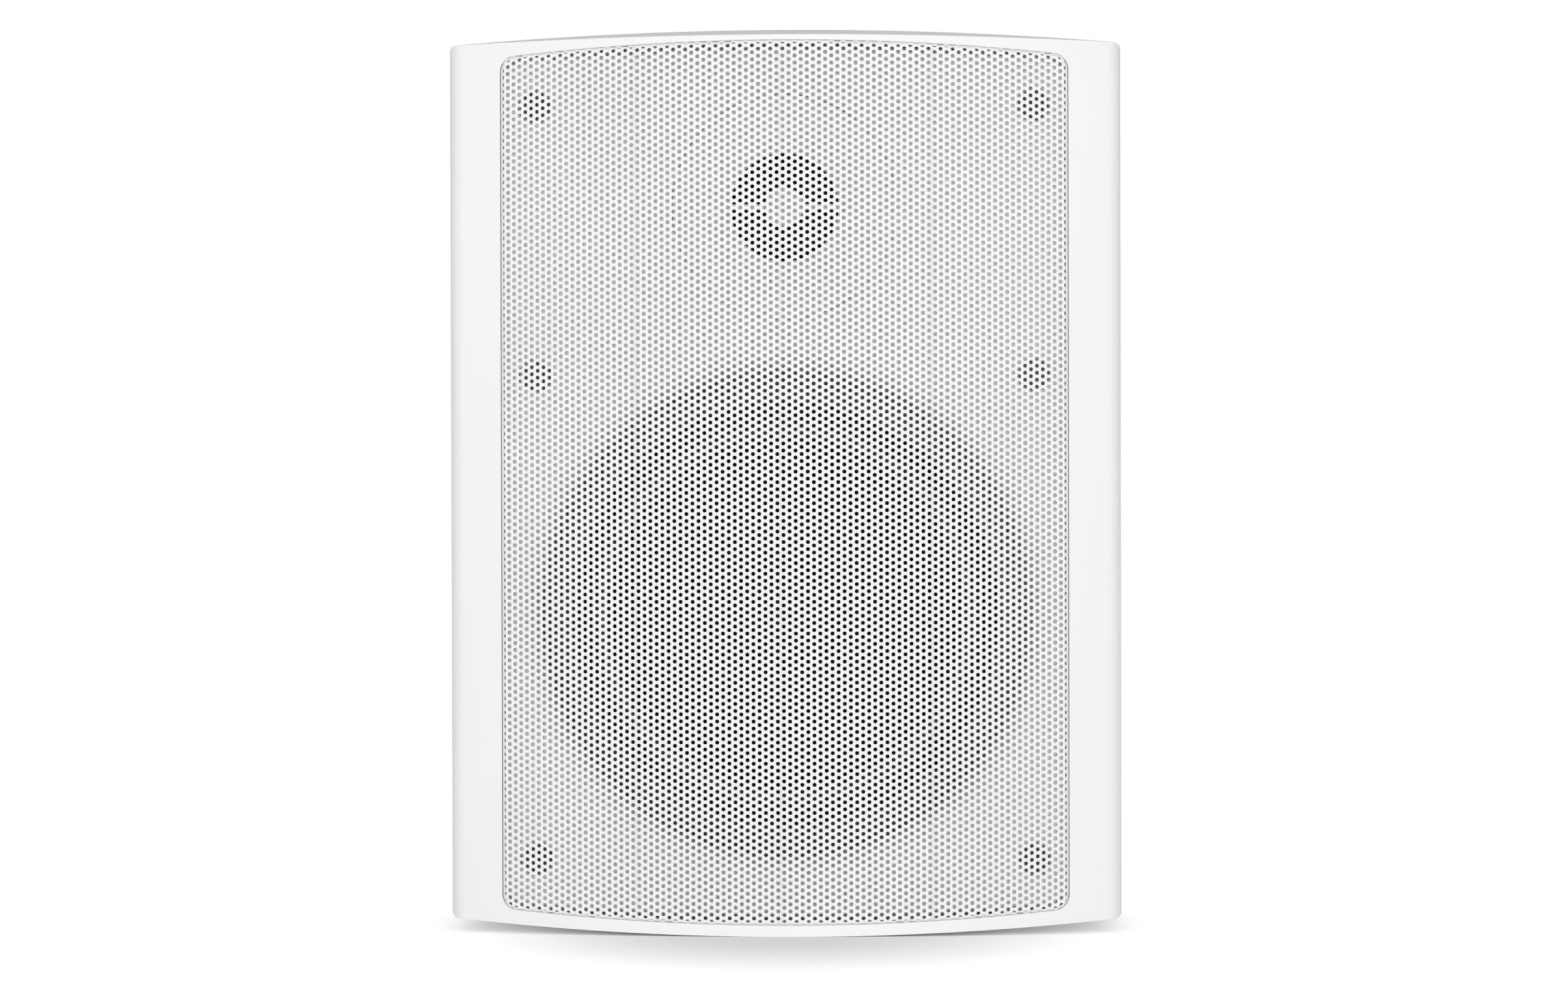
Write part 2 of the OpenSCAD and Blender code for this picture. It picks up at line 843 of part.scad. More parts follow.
module baffle() {
    y2 = baffle_y + tweeter_boss_t;
    color(light)
        difference() {
            union() {
                difference() {
                    across(baffle_y, baffle_y + baffle_t)
                        opening_face(baffle_inset);
                    rod(0, woofer_z, woofer_throat_r + lip_r, baffle_y - past, ledge_y);
                }
                turned([0, baffle_y, woofer_z]) {
                    ring(woofer_throat_r + lip_r, woofer_throat_r + lip_r + past, 0, baffle_t);
                    intersection() {
                        translate([woofer_throat_r + lip_r, lip_r])
                            difference() {
                                circle(r = lip_r);
                                circle(r = lip_r - well_wall);
                            }
                        ring(woofer_throat_r, woofer_throat_r + lip_r, 0, lip_r);
                    }
                    ring(woofer_throat_r, well_r, lip_r, well_d + shelf_t);
                    ring(shelf_hole_r, well_r, well_d, well_d + shelf_t);
                }
                at_woofer_screws()
                    rod(0, 0, woofer_boss_r, shelf_t / 2, shelf_t + woofer_boss_len);
                rod(0, tweeter_z, tweeter_boss_r, baffle_y + baffle_t / 2, y2);
                for (p = screw_places)
                    rod(p[0], p[1], post_r, baffle_y + baffle_t / 2, ledge_y);
                stiffeners();
            }
            for (p = screw_places) {
                rod(p[0], p[1], recess_d / 2, baffle_y - past, baffle_y + recess_d_in);
                rod(p[0], p[1], shank_r + hole_play, baffle_y, ledge_y + past);
            }
            at_woofer_screws()
                rod(0, 0, woofer_shank_r + pilot_gap, -past, shelf_t + woofer_boss_len - pilot_end);
            rod(0, tweeter_z, face_r + seat_gap, baffle_y - past, baffle_y + face_t);
            rod(0, tweeter_z, hub_r + seat_gap, baffle_y, y2 + past);
            at_tweeter_screws()
                rod(0, 0, tweeter_shank_r + hole_play / 2, 0, tweeter_boss_t + past);
        }
}

module baffle_gasket() {
    color(dark)
        across(baffle_y + baffle_t, ledge_y)
            difference() {
                opening_face(baffle_inset + seal_margin);
                ledge_hole(-seal_margin);
                for (p = screw_places)
                    translate(p)
                        circle(r = post_r + seal_margin);
            }
}

// A pan head screw that is driven back from a place, with a cross recess in its head
module pan_screw(x, y, z, head, thick, shank, len) {
    difference() {
        union() {
            rod(x, z, head, y - thick, y);
            rod(x, z, shank, y - past, y + len);
        }
        for (a = [0, 90])
            translate([x, y - thick, z])
                rotate([0, a, 0])
                    cube([head, thick, head / 4], center = true);
    }
}

module baffle_screws() {
    color(dark)
        for (p = screw_places)
            pan_screw(p[0], baffle_y + recess_d_in, p[1], head_r, head_t, shank_r, screw_len);
}

module woofer_gasket() {
    color(dark)
        turned([0, shelf_y, woofer_z])
            ring(shelf_hole_r + gasket_t, woofer_screw_r - woofer_head_r + gasket_t, rim_back, 0);
}

module woofer_basket() {
    wide = 360 / window_count;
    half_window = wide * 0.34;
    slope_front = shelf_t + 0.5;
    near = landing_in_r - 11;
    far = landing_out_r + 30;
    foot_r = 15;
    rib_edge = 3;
    color(black_steel)
        translate([0, shelf_y, woofer_z])
            rotate([-90, 0, 0])
                difference() {
                    rotate_extrude()
                        polygon([
                            [basket_r, rim_front], [basket_r, rim_back], [neck_r, rim_back],
                            [neck_r, slope_front], [landing_out_r + basket_t, landing_d + basket_t],
                            [landing_in_r + basket_t, landing_d + basket_t],
                            [landing_in_r + basket_t, basket_d], [foot_r, basket_d],
                            [foot_r, basket_d - basket_t], [landing_in_r, basket_d - basket_t],
                            [landing_in_r, landing_d], [landing_out_r, landing_d],
                            [neck_r - basket_t, slope_front], [neck_r - basket_t, rim_front]
                        ]);
                    for (i = [0:window_count - 1])
                        rotate([0, 0, (i + 0.5) * wide])
                            translate([0, 0, shelf_t + rib_edge])
                                linear_extrude(landing_d - shelf_t - 2 * rib_edge)
                                    polygon([
                                        for (p = [[near, -1], [far, -1], [far, 1], [near, 1]])
                                            p[0] * [cos(half_window), p[1] * sin(half_window)]
                                    ]);
                    for (a = [45:90:315])
                        rotate([0, 0, a])
                            translate([woofer_screw_r, 0, rim_front - past])
                                cylinder(r = woofer_shank_r + hole_play, h = rim_t + 2 * past);
                }
}

// Half of a round corrugation, bulging to the front or to the back
module half_roll(mid, r, t, depth, side) {
    intersection() {
        translate([mid, depth])
            difference() {
                circle(r = r + t / 2);
                circle(r = r - t / 2);
            }
        translate([mid - r - t, side < 0 ? depth - r - t : depth])
            square([2 * (r + t), r + t]);
    }
}

module woofer_surround() {
    mid = (cone_r + roll_r) / 2;
    r = (roll_r - cone_r) / 2;
    color(dark)
        turned([0, shelf_y, woofer_z]) {
            half_roll(mid, r, roll_t, rim_front, -1);
            ring(roll_r - roll_t / 2, woofer_screw_r - woofer_head_r - hole_play, rim_front - roll_t, rim_front);
            ring(cone_r - cone_flat, cone_r + roll_t / 2, rim_front - roll_t, rim_front);
        }
}

// The cone's depth at radius r: it deepens faster towards the neck
function cone_at(r) =
    rim_front + cone_depth
    * (1 - pow((r - cone_neck_r) / (cone_r - cone_flat - cone_neck_r), cone_curve));

module woofer_cone() {
    edge = cone_r - cone_flat;
    radii = [for (i = [0:cone_steps]) cone_neck_r + (edge - cone_neck_r) * i / cone_steps];
    front = [for (r = radii) [r, cone_at(r)]];
    back = [for (i = [cone_steps:-1:0]) [radii[i], cone_at(radii[i]) + cone_thick]];
    color(dark)
        turned([0, shelf_y, woofer_z])
            polygon(concat(
                front,
                [[cone_r, rim_front], [cone_r, rim_front + cone_t]],
                back
            ));
}

module woofer_dust_cap() {
    base = cone_at(cap_r) - glue_t;
    color(dark)
        turned([0, shelf_y, woofer_z])
            intersection() {
                translate([0, base + sqrt(pow(cap_dome_r, 2) - pow(cap_r, 2))])
                    difference() {
                        circle(r = cap_dome_r);
                        circle(r = cap_dome_r - cap_t);
                    }
                translate([0, base - cap_dome_r])
                    square([cap_dome_r, cap_dome_r]);
            }
}

module woofer_voice_coil() {
    color(brass)
        turned([0, shelf_y, woofer_z]) {
            ring(former_r, former_out_r, cone_at(cone_neck_r) - 0.5, former_back);
            ring(former_out_r - 0.1, winding_r, former_back - winding_len, former_back);
        }
}

module woofer_spider() {
    roll_in = spider_in_r + spider_neck;
    roll_out = landing_in_r + spider_lap;
    step = (roll_out - roll_in) / spider_rolls;
    mid_depth = landing_d - spider_t / 2;
    color([0.75, 0.62, 0.35])
        turned([0, shelf_y, woofer_z]) {
            ring(spider_in_r, roll_in + spider_t / 2, landing_d - spider_t, landing_d);
            for (i = [0:spider_rolls - 1])
                half_roll(
                    roll_in + step * (i + 0.5), step / 2, spider_t, mid_depth,
                    (spider_rolls - i) % 2 == 0 ? 1 : -1
                );
            ring(roll_out - spider_t / 2, landing_out_r - spider_t, landing_d - spider_t, landing_d);
        }
}

module woofer_top_plate() {
    color(black_steel)
        turned([0, shelf_y, woofer_z])
            ring(plate_hole_r, plate_r, plate_front, magnet_front);
}

module woofer_magnet() {
    color([0.25, 0.25, 0.27])
        turned([0, shelf_y, woofer_z])
            ring(plate_hole_r + magnet_step, magnet_r, magnet_front, yoke_front);
}

module woofer_yoke() {
    color(black_steel)
        turned([0, shelf_y, woofer_z]) {
            ring(vent_r, pole_r, plate_front, yoke_front + yoke_t);
            ring(vent_r, plate_r, yoke_front, yoke_front + yoke_t);
        }
}

module woofer_screws() {
    color(dark)
        at_woofer_screws()
            pan_screw(0, rim_front, 0, woofer_head_r, woofer_head_t, woofer_shank_r, woofer_screw_len);
}

module woofer_terminals() {
    strip = [20, 1, 7.5];
    tab = [4.8, 0.8, 13];
    tab_x = 6;
    color(brass)
        translate([0, shelf_y + landing_d + basket_t, woofer_z + landing_in_r + basket_t + past]) {
            translate([-strip[0] / 2, 0, 0])
                cube(strip);
            for (s = [-1, 1])
                translate([s * tab_x - tab[0] / 2, strip[1], strip[2] / 3])
                    cube(tab);
        }
}

module tweeter_faceplate() {
    y0 = baffle_y;
    color(light)
        difference() {
            union() {
                turned([0, y0, tweeter_z]) {
                    difference() {
                        ring(throat_r, face_r, 0, face_t);
                        polygon([
                            [throat_r - past, -past], [throat_r + flare + past, -past],
                            [throat_r + flare, 0], [throat_r, disc_t], [throat_r - past, disc_t]
                        ]);
                    }
                    ring(throat_r, hub_r, face_t - past, hub_back);
                }
                rod(0, tweeter_z, disc_r, y0, y0 + disc_t);
                box(
                    [-throat_r - flare, y0 + bar_back, tweeter_z - bar_w / 2],
                    [throat_r + flare, y0 + disc_t, tweeter_z + bar_w / 2]
                );
            }
            at_tweeter_screws()
                rod(0, 0, tweeter_shank_r + pilot_gap, face_skin, face_t + past);
        }
}

module tweeter_surround() {
    mid = (dome_r + throat_r) / 2 - dome_roll_t / 4;
    r = (throat_r - dome_r) / 2 - roll_play;
    color(dark)
        turned([0, baffle_y, tweeter_z]) {
            half_roll(mid, r, dome_roll_t, dome_back - dome_roll_t / 2, -1);
            ring(mid + r - dome_roll_t / 2, motor_r - past, hub_back, motor_front);
        }
}

module tweeter_dome() {
    color(dark)
        turned([0, baffle_y, tweeter_z])
            intersection() {
                translate([0, dome_back + sqrt(pow(dome_dome_r, 2) - pow(dome_r, 2))])
                    difference() {
                        circle(r = dome_dome_r);
                        circle(r = dome_dome_r - dome_t);
                    }
                translate([0, dome_back - dome_dome_r])
                    square([dome_dome_r, dome_dome_r]);
            }
}

module tweeter_voice_coil() {
    color(brass)
        turned([0, baffle_y, tweeter_z]) {
            ring(
                tweeter_coil_r, tweeter_coil_r + tweeter_coil_t, dome_back,
                motor_front + tweeter_winding_len + 2 * coil_gap
            );
            ring(
                tweeter_coil_r + tweeter_coil_t - glue_t, dome_r, motor_front + coil_gap,
                motor_front + coil_gap + tweeter_winding_len
            );
        }
}

module tweeter_top_plate() {
    color(black_steel)
        turned([0, baffle_y, tweeter_z])
            ring(dome_r + coil_gap, motor_r, motor_front, motor_front + motor_plate_t);
}

module tweeter_magnet() {
    front = motor_front + motor_plate_t;
    color([0.25, 0.25, 0.27])
        turned([0, baffle_y, tweeter_z])
            ring(dome_r + magnet_step, motor_r, front, front + motor_t);
}

module tweeter_yoke() {
    front = motor_front + motor_plate_t + motor_t;
    color(black_steel)
        turned([0, baffle_y, tweeter_z]) {
            ring(tweeter_vent_r, tweeter_coil_r - coil_gap, motor_front + pole_drop, front + motor_plate_t);
            ring(tweeter_vent_r, motor_r, front, front + motor_plate_t);
        }
}

module tweeter_screws() {
    color(dark)
        at_tweeter_screws() {
            rod(0, 0, 2 * tweeter_shank_r, tweeter_boss_t, tweeter_boss_t + tweeter_head_t);
            rod(0, 0, tweeter_shank_r, face_skin + hole_play, tweeter_boss_t + past);
        }
}

module terminal_panel() {
    color(dark)
        difference() {
            union() {
                across(panel_inner_y, back_y)
                    translate([0, panel_z])
                        rounded(panel_w, panel_h, panel_corner_r - seat_gap);
                rod(0, knob_z, knob_well_r + well_floor, knob_floor_y - well_floor, panel_inner_y + past);
                box(
                    [
                        -lever_well_w / 2 - well_floor, lever_floor_y - well_floor,
                        lever_well_z - lever_well_h / 2 - well_floor
                    ],
                    [
                        lever_well_w / 2 + well_floor, panel_inner_y + past,
                        lever_well_z + lever_well_h / 2 + well_floor
                    ]
                );
                for (i = [-1, 1], j = [-1, 1])
                    rod(i * stand_x, panel_z + j * stand_z, stand_r, board_back_y, panel_inner_y + past);
            }
            rod(0, knob_z, knob_well_r, knob_floor_y, back_y + past);
            rod(0, knob_z, shaft_r + shaft_play, knob_floor_y - well_floor - past, knob_floor_y + past);
            box(
                [-lever_well_w / 2, lever_floor_y, lever_well_z - lever_well_h / 2],
                [lever_well_w / 2, back_y + past, lever_well_z + lever_well_h / 2]
            );
            for (s = [-1, 1])
                rod(
                    s * lever_x, wire_z, tag_r + tag_play,
                    lever_floor_y - well_floor - past, lever_floor_y + past
                );
            for (p = panel_screw_places) {
                rod(p[0], p[1], small_shank_r + hole_play, panel_inner_y - past, back_y);
                rod(p[0], p[1], panel_head_r + hole_play, back_y - panel_sink, back_y + past);
            }
            for (i = [-1, 1], j = [-1, 1])
                rod(
                    i * stand_x, panel_z + j * stand_z, board_shank_r + pilot_gap,
                    board_back_y - past, board_back_y + board_screw_len
                );
        }
}

module panel_gasket() {
    color([0.3, 0.3, 0.3])
        across(back_y - rebate_d, panel_inner_y)
            translate([0, panel_z])
                difference() {
                    rounded(panel_w - 1, panel_h - 1, panel_corner_r);
                    rounded(cutout_w + 1, cutout_h + 1, panel_corner_r);
                    for (i = [-1, 1], j = [-1, 1])
                        translate([i * panel_screw_x, j * panel_screw_z])
                            circle(r = small_shank_r + hole_play);
                }
}

module panel_screws() {
    color(dark)
        for (p = panel_screw_places)
            difference() {
                union() {
                    rod(p[0], p[1], panel_head_r, back_y - panel_sink, back_y - panel_sink + panel_head_t);
                    rod(p[0], p[1], small_shank_r, back_y - panel_screw_len, back_y - panel_sink + past);
                }
                for (a = [0, 90])
                    translate([p[0], back_y - panel_sink + panel_head_t, p[1]])
                        rotate([0, a, 0])
                            cube([panel_head_r, panel_head_t, panel_head_r / 4], center = true);
            }
}

// A housing with a pocket for each lever, and a wire hole under each
module terminal_block() {
    pocket_w = lever_w + 2 * lever_run;
    color([0.1, 0.1, 0.1])
        difference() {
            box(
                [-block_w / 2, lever_floor_y, lever_well_z - block_h / 2],
                [block_w / 2, block_back_y, lever_well_z + block_h / 2]
            );
            for (s = [-1, 1]) {
                box(
                    [
                        s * lever_x - pocket_w / 2, lever_floor_y + block_floor,
                        pin_z - lever_len - lever_run
                    ],
                    [s * lever_x + pocket_w / 2, block_back_y + past, pin_z + barrel_r + lever_run]
                );
                rod(s * lever_x, wire_z, wire_r, lever_floor_y + block_floor, block_back_y + past);
                rod(
                    s * lever_x, wire_z, tag_r + tag_play,
                    lever_floor_y - past, lever_floor_y + 2 * block_floor
                );
            }
            translate([-lever_x - pocket_w / 2 - pin_len - pin_play, pin_y, pin_z])
                rotate([0, 90, 0])
                    cylinder(
                        r = pin_r + pilot_gap,
                        h = 2 * (lever_x + pin_len + pin_play) + pocket_w
                    );
        }
}

// A lever that swings in about its own stub pins
module lever(x) {
    difference() {
        union() {
            box(
                [x - lever_w / 2, pin_y - lever_t / 2, pin_z - lever_len],
                [x + lever_w / 2, pin_y + lever_t / 2, pin_z]
            );
            translate([x - lever_w / 2, pin_y, pin_z])
                rotate([0, 90, 0])
                    cylinder(r = barrel_r, h = lever_w);
            translate([x - lever_w / 2 - pin_len, pin_y, pin_z])
                rotate([0, 90, 0])
                    cylinder(r = pin_r, h = lever_w + 2 * pin_len);
        }
        for (i = [1:grooves])
            translate([
                x - lever_w / 2 - past, pin_y + lever_t / 2 - groove_w / 2,
                pin_z - lever_len + i * groove_step - groove_w
            ])
                cube([lever_w + 2 * past, lever_t, groove_w]);
    }
}

module lever_plus() {
    color("firebrick")
        lever(lever_x);
}

module lever_minus() {
    color([0.08, 0.08, 0.08])
        lever(-lever_x);
}

// A leaf spring that lies on the pocket's floor and leans out towards its lever
module clamp_spring(x) {
    low = [lever_floor_y + block_floor, pin_z - lever_len + 1];
    reach = pin_y - lever_t / 2 - lever_run - low[0];
    translate([x - leaf_w / 2, low[0], low[1]])
        rotate([90, 0, 90])
            linear_extrude(leaf_w)
                polygon([
                    [0, 0], [leaf_t, 0], [leaf_t, leaf_root],
                    [reach, 1], [reach, 1 + leaf_tip],
                    [leaf_t, leaf_root + 1.4], [0, leaf_root + 1.4]
                ]);
}

module clamp_spring_plus() {
    color(brass)
        clamp_spring(lever_x);
}

module clamp_spring_minus() {
    color(brass)
        clamp_spring(-lever_x);
}

// Tags that join the terminals to the board
module terminal_tags() {
    color(brass)
        for (s = [-1, 1])
            rod(s * lever_x, wire_z, tag_r, board_front_y - tag_end, lever_floor_y + block_floor);
}

module tap_switch() {
    front = board_back_y;
    back = knob_floor_y - well_floor;
    color(dark)
        difference() {
            rod(0, knob_z, switch_r, front, back);
            rod(0, knob_z, shaft_r + shaft_play, front + switch_wall, back + past);
        }
}

module tap_shaft() {
    color(light)
        rod(0, knob_z, shaft_r, board_back_y + switch_wall + knob_gap, knob_floor_y + knob_h - knob_top);
}

module tap_knob() {
    y0 = knob_floor_y + knob_gap;
    y1 = knob_floor_y + knob_h;
    color([0.15, 0.15, 0.16])
        difference() {
            union() {
                rod(0, knob_z, knob_r, y0, y0 + skirt_h);
                rod(0, knob_z, knob_r - skirt_h, y0, y1);
                box(
                    [-grip_w / 2, y0 + 1, knob_z - knob_r + 2 * grip_short],
                    [grip_w / 2, y1 + grip_proud, knob_z + knob_r - grip_short]
                );
            }
            rod(0, knob_z, shaft_r, y0 - past, y1 - knob_top);
            box(
                [-mark_w / 2, y1 + grip_proud / 2, knob_z + shaft_r],
                [mark_w / 2, y1 + grip_proud + past, knob_z + knob_r]
            );
        }
}

module crossover_board() {
    color("darkgreen")
        difference() {
            across(board_front_y, board_back_y)
                translate([0, panel_z])
                    rounded(board_w, board_h, board_corner_r);
            for (i = [-1, 1], j = [-1, 1])
                rod(
                    i * stand_x, panel_z + j * stand_z, board_shank_r + hole_play,
                    board_front_y - past, board_back_y + past
                );
            for (s = [-1, 1])
                rod(s * lever_x, wire_z, tag_r + tag_play, board_front_y - past, board_back_y + past);
        }
}

module board_screws() {
    color(steel)
        for (i = [-1, 1], j = [-1, 1])
            pan_screw(
                i * stand_x, board_front_y, panel_z + j * stand_z,
                board_head_r, board_head_t, board_shank_r, board_screw_len
            );
}

// A wound coil on a bobbin with two flanges
module inductor() {
    x = 1 - coil_r;
    z = panel_z + coil_rise;
    color([0.72, 0.4, 0.2])
        translate([x, board_front_y, z])
            rotate([90, 0, 0])
                rotate_extrude() {
                    ring(bobbin_r, coil_r, 0, flange_t);
                    ring(bobbin_r, bobbin_r + flange_t, 0, coil_h);
                    ring(bobbin_r + flange_t / 2, coil_r - 1, flange_t / 2, coil_h - flange_t / 2);
                    ring(bobbin_r, coil_r, coil_h - flange_t, coil_h);
                }
}

// Boxes that stand on the board, up from a height over the panel's middle and left from the board's edge
module on_board(size, rise, from_edge) {
    translate([board_w / 2 - from_edge - size[0], board_front_y - size[1], panel_z + rise])
        cube(size);
}

module capacitors() {
    color("goldenrod") {
        on_board([18, 13, 7], 18, part_margin);
        on_board([18, 13, 8], 7, part_margin);
    }
}

module resistors() {
    color(light)
        for (rise = [-6, -16])
            on_board([22, 7, 7], rise, part_margin + 1);
}

// A laminated core with two windows round its middle limb
module transformer_core() {
    color(steel)
        across(plinth_y - core_t / 2, plinth_y + core_t / 2)
            difference() {
                translate([-core_w / 2, plinth_top])
                    square([core_w, core_h]);
                for (x = [-2 * limb, limb])
                    translate([x, plinth_top + limb])
                        square([limb, core_h - 2 * limb]);
            }
}

module transformer_winding() {
    z0 = plinth_top + limb + core_play;
    z1 = plinth_top + core_h - limb - core_play;
    inner = [limb + core_play, core_t / 2 + core_play];
    outer = [limb * 1.8, core_t / 2 + winding_out];
    color([0.85, 0.8, 0.55])
        difference() {
            box([-outer[0], plinth_y - outer[1], z0], [outer[0], plinth_y + outer[1], z1]);
            box(
                [-inner[0], plinth_y - inner[1], z0 - past],
                [inner[0], plinth_y + inner[1], z1 + past]
            );
        }
}

// A steel strap over the core, with an ear on each side
module transformer_strap() {
    half = core_w / 2 + seat_gap;
    top = plinth_top + core_h + seat_gap;
    color(steel)
        difference() {
            across(plinth_y - strap_w / 2, plinth_y + strap_w / 2)
                difference() {
                    union() {
                        translate([-half - strap_t, plinth_top])
                            square([2 * (half + strap_t), top - plinth_top + strap_t]);
                        translate([-ear_x - boss_r, plinth_top])
                            square([2 * (ear_x + boss_r), strap_t]);
                    }
                    translate([-half, plinth_top - past])
                        square([2 * half, top - plinth_top + past]);
                }
            for (s = [-1, 1])
                translate([s * ear_x, plinth_y, plinth_top - past])
                    cylinder(r = small_shank_r + hole_play, h = strap_t + 2 * past);
        }
}

module transformer_screws() {
    color(steel)
        for (s = [-1, 1])
            translate([s * ear_x, plinth_y, 0]) {
                translate([0, 0, plinth_top + strap_t])
                    cylinder(r = 2 * small_shank_r, h = strap_head_t);
                translate([0, 0, wall_t + 1])
                    cylinder(r = small_shank_r, h = plinth_top - wall_t + 1);
            }
}

// A brass insert with a threaded core, mouth upwards
module insert() {
    difference() {
        cylinder(r = insert_r, h = insert_len);
        translate([0, 0, -past])
            cylinder(r = insert_core_r, h = insert_len + 2 * past);
    }
}

module bracket_inserts() {
    color(brass) {
        translate([0, insert_y, seat_gap])
            insert();
        translate([0, insert_y, cab_h - insert_len - seat_gap])
            insert();
    }
}

module wall_inserts() {
    color(brass)
        for (z = [insert_low_z, insert_low_z + insert_pitch])
            translate([0, back_y - insert_len, z])
                rotate([-90, 0, 0])
                    insert();
}

cabinet();
grille();
baffle();
baffle_gasket();
baffle_screws();
woofer_gasket();
woofer_basket();
woofer_surround();
woofer_cone();
woofer_dust_cap();
woofer_voice_coil();
woofer_spider();
woofer_top_plate();
woofer_magnet();
woofer_yoke();
woofer_screws();
woofer_terminals();
tweeter_faceplate();
tweeter_surround();
tweeter_dome();
tweeter_voice_coil();
tweeter_top_plate();
tweeter_magnet();
tweeter_yoke();
tweeter_screws();
terminal_panel();
panel_gasket();
panel_screws();
terminal_block();
lever_plus();
lever_minus();
clamp_spring_plus();
clamp_spring_minus();
terminal_tags();
tap_switch();
tap_shaft();
tap_knob();
crossover_board();
board_screws();
inductor();
capacitors();
resistors();
transformer_core();
transformer_winding();
transformer_strap();
transformer_screws();
bracket_inserts();
wall_inserts();
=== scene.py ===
# %% [markdown]
# A two-way installation speaker, dressed for a studio picture.
# The rigid pieces come in as a fixed frame, in metres, with X across the front, Y from front to back
# and Z up. This lesson gives each of them its finish, and makes what the frame can't hold: the steel
# sheet in front, whose holes are too fine for it, and the rings and springs that bend. Each step says
# what the real thing is first.

# %% Load the frame
import json
import math

import bmesh
import bpy
import numpy as np
from mathutils import Matrix, Vector

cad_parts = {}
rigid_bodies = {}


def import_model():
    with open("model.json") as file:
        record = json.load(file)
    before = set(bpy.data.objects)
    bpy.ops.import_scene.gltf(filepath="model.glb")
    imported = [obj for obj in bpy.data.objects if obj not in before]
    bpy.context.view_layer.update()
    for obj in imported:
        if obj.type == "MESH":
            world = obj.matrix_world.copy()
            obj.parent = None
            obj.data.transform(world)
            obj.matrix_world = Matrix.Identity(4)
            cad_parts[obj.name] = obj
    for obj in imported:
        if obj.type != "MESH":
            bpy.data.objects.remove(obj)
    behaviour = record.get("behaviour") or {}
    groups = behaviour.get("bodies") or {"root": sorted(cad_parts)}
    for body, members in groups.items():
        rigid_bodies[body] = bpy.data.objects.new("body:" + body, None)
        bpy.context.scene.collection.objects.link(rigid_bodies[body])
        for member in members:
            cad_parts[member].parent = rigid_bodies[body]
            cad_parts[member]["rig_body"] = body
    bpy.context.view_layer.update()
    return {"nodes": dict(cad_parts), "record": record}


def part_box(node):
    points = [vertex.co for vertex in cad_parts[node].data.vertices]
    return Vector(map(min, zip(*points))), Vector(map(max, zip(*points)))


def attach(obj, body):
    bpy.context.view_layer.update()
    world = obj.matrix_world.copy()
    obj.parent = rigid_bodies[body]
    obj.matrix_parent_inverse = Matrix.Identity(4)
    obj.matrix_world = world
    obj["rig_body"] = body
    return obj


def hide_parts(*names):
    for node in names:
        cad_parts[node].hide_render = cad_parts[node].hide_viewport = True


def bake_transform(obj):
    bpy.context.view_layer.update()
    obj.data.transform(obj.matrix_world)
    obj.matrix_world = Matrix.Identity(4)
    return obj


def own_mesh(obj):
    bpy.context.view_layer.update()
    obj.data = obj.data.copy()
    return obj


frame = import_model()
mm = 0.001

# %% [markdown]
# The picture was taken from about a metre away, a hand's width over the floor and a little to the
# right, with a long lens. So the camera is placed by its distance and turned by small angles. Its
# angle of view is the lens's: the sensor's width is 36 mm.

# %% Camera
photo_w = 2408
focal_px = 6104.5
sensor_w = 36
view_reach = 50
camera_place = np.array([30.95, -1088.6, 123.7]) * mm
yaw, pitch, roll = np.radians([-1.737, -0.574, -0.138])


def camera_turn(yaw, pitch, roll):
    """Yaw turns the forward axis about Z, pitch lifts it, and roll turns right and up about it."""
    forward = np.array([math.sin(yaw) * math.cos(pitch), math.cos(yaw) * math.cos(pitch), math.sin(pitch)])
    level = np.array([math.cos(yaw), -math.sin(yaw), 0.0])
    upright = np.cross(level, forward)
    right = math.cos(roll) * level + math.sin(roll) * upright
    up = math.cos(roll) * upright - math.sin(roll) * level
    return np.column_stack([right, up, -forward])


camera_data = bpy.data.cameras.new("camera")
camera_data.sensor_width = sensor_w
camera_data.lens = sensor_w * focal_px / photo_w
camera_data.clip_end = view_reach
camera = bpy.data.objects.new("camera", camera_data)
turn = Matrix(camera_turn(yaw, pitch, roll).tolist()).to_4x4()
camera.matrix_world = Matrix.Translation(camera_place.tolist()) @ turn
bpy.context.scene.collection.objects.link(camera)
bpy.context.scene.camera = camera
print("lens %.1f mm" % camera_data.lens)

# %% [markdown]
# A finish is a few nodes: a colour that varies a little, a roughness that varies with it and a fine
# relief. They all read Object coordinates, which are metres here, so a grain of 0.3 mm is a noise with
# a scale of 1 / 0.0003. These small helpers keep each finish down to a few lines.

# %% Nodes in few words
def new_finish(name, colour, roughness, metallic=0.0, specular=0.5):
    """A material whose shader has plain values; nodes are joined to it afterwards."""
    made = bpy.data.materials.new(name)
    made.use_nodes = True
    shader = made.node_tree.nodes["Principled BSDF"]
    shader.inputs["Base Color"].default_value = (*colour, 1)
    shader.inputs["Roughness"].default_value = roughness
    shader.inputs["Metallic"].default_value = metallic
    shader.inputs["Specular IOR Level"].default_value = specular
    made.diffuse_color = (*colour, 1)
    return made


def add(made, kind, **values):
    """A new node with some of its inputs set. An underscore in a name stands for a space."""
    node = made.node_tree.nodes.new(kind)
    for key, value in values.items():
        node.inputs[key.replace("_", " ")].default_value = value
    return node


def wire(made, start, end):
    """A link from one node's output to another's input."""
    made.node_tree.links.new(start, end)


def shader_of(made):
    """The shader that new_finish left in the material."""
    return made.node_tree.nodes["Principled BSDF"]


# %% [markdown]
# A pattern can drive three things: the colour, the roughness and the relief. A real surface changes
# in all of them together, so each finish below uses one or two patterns for all three.

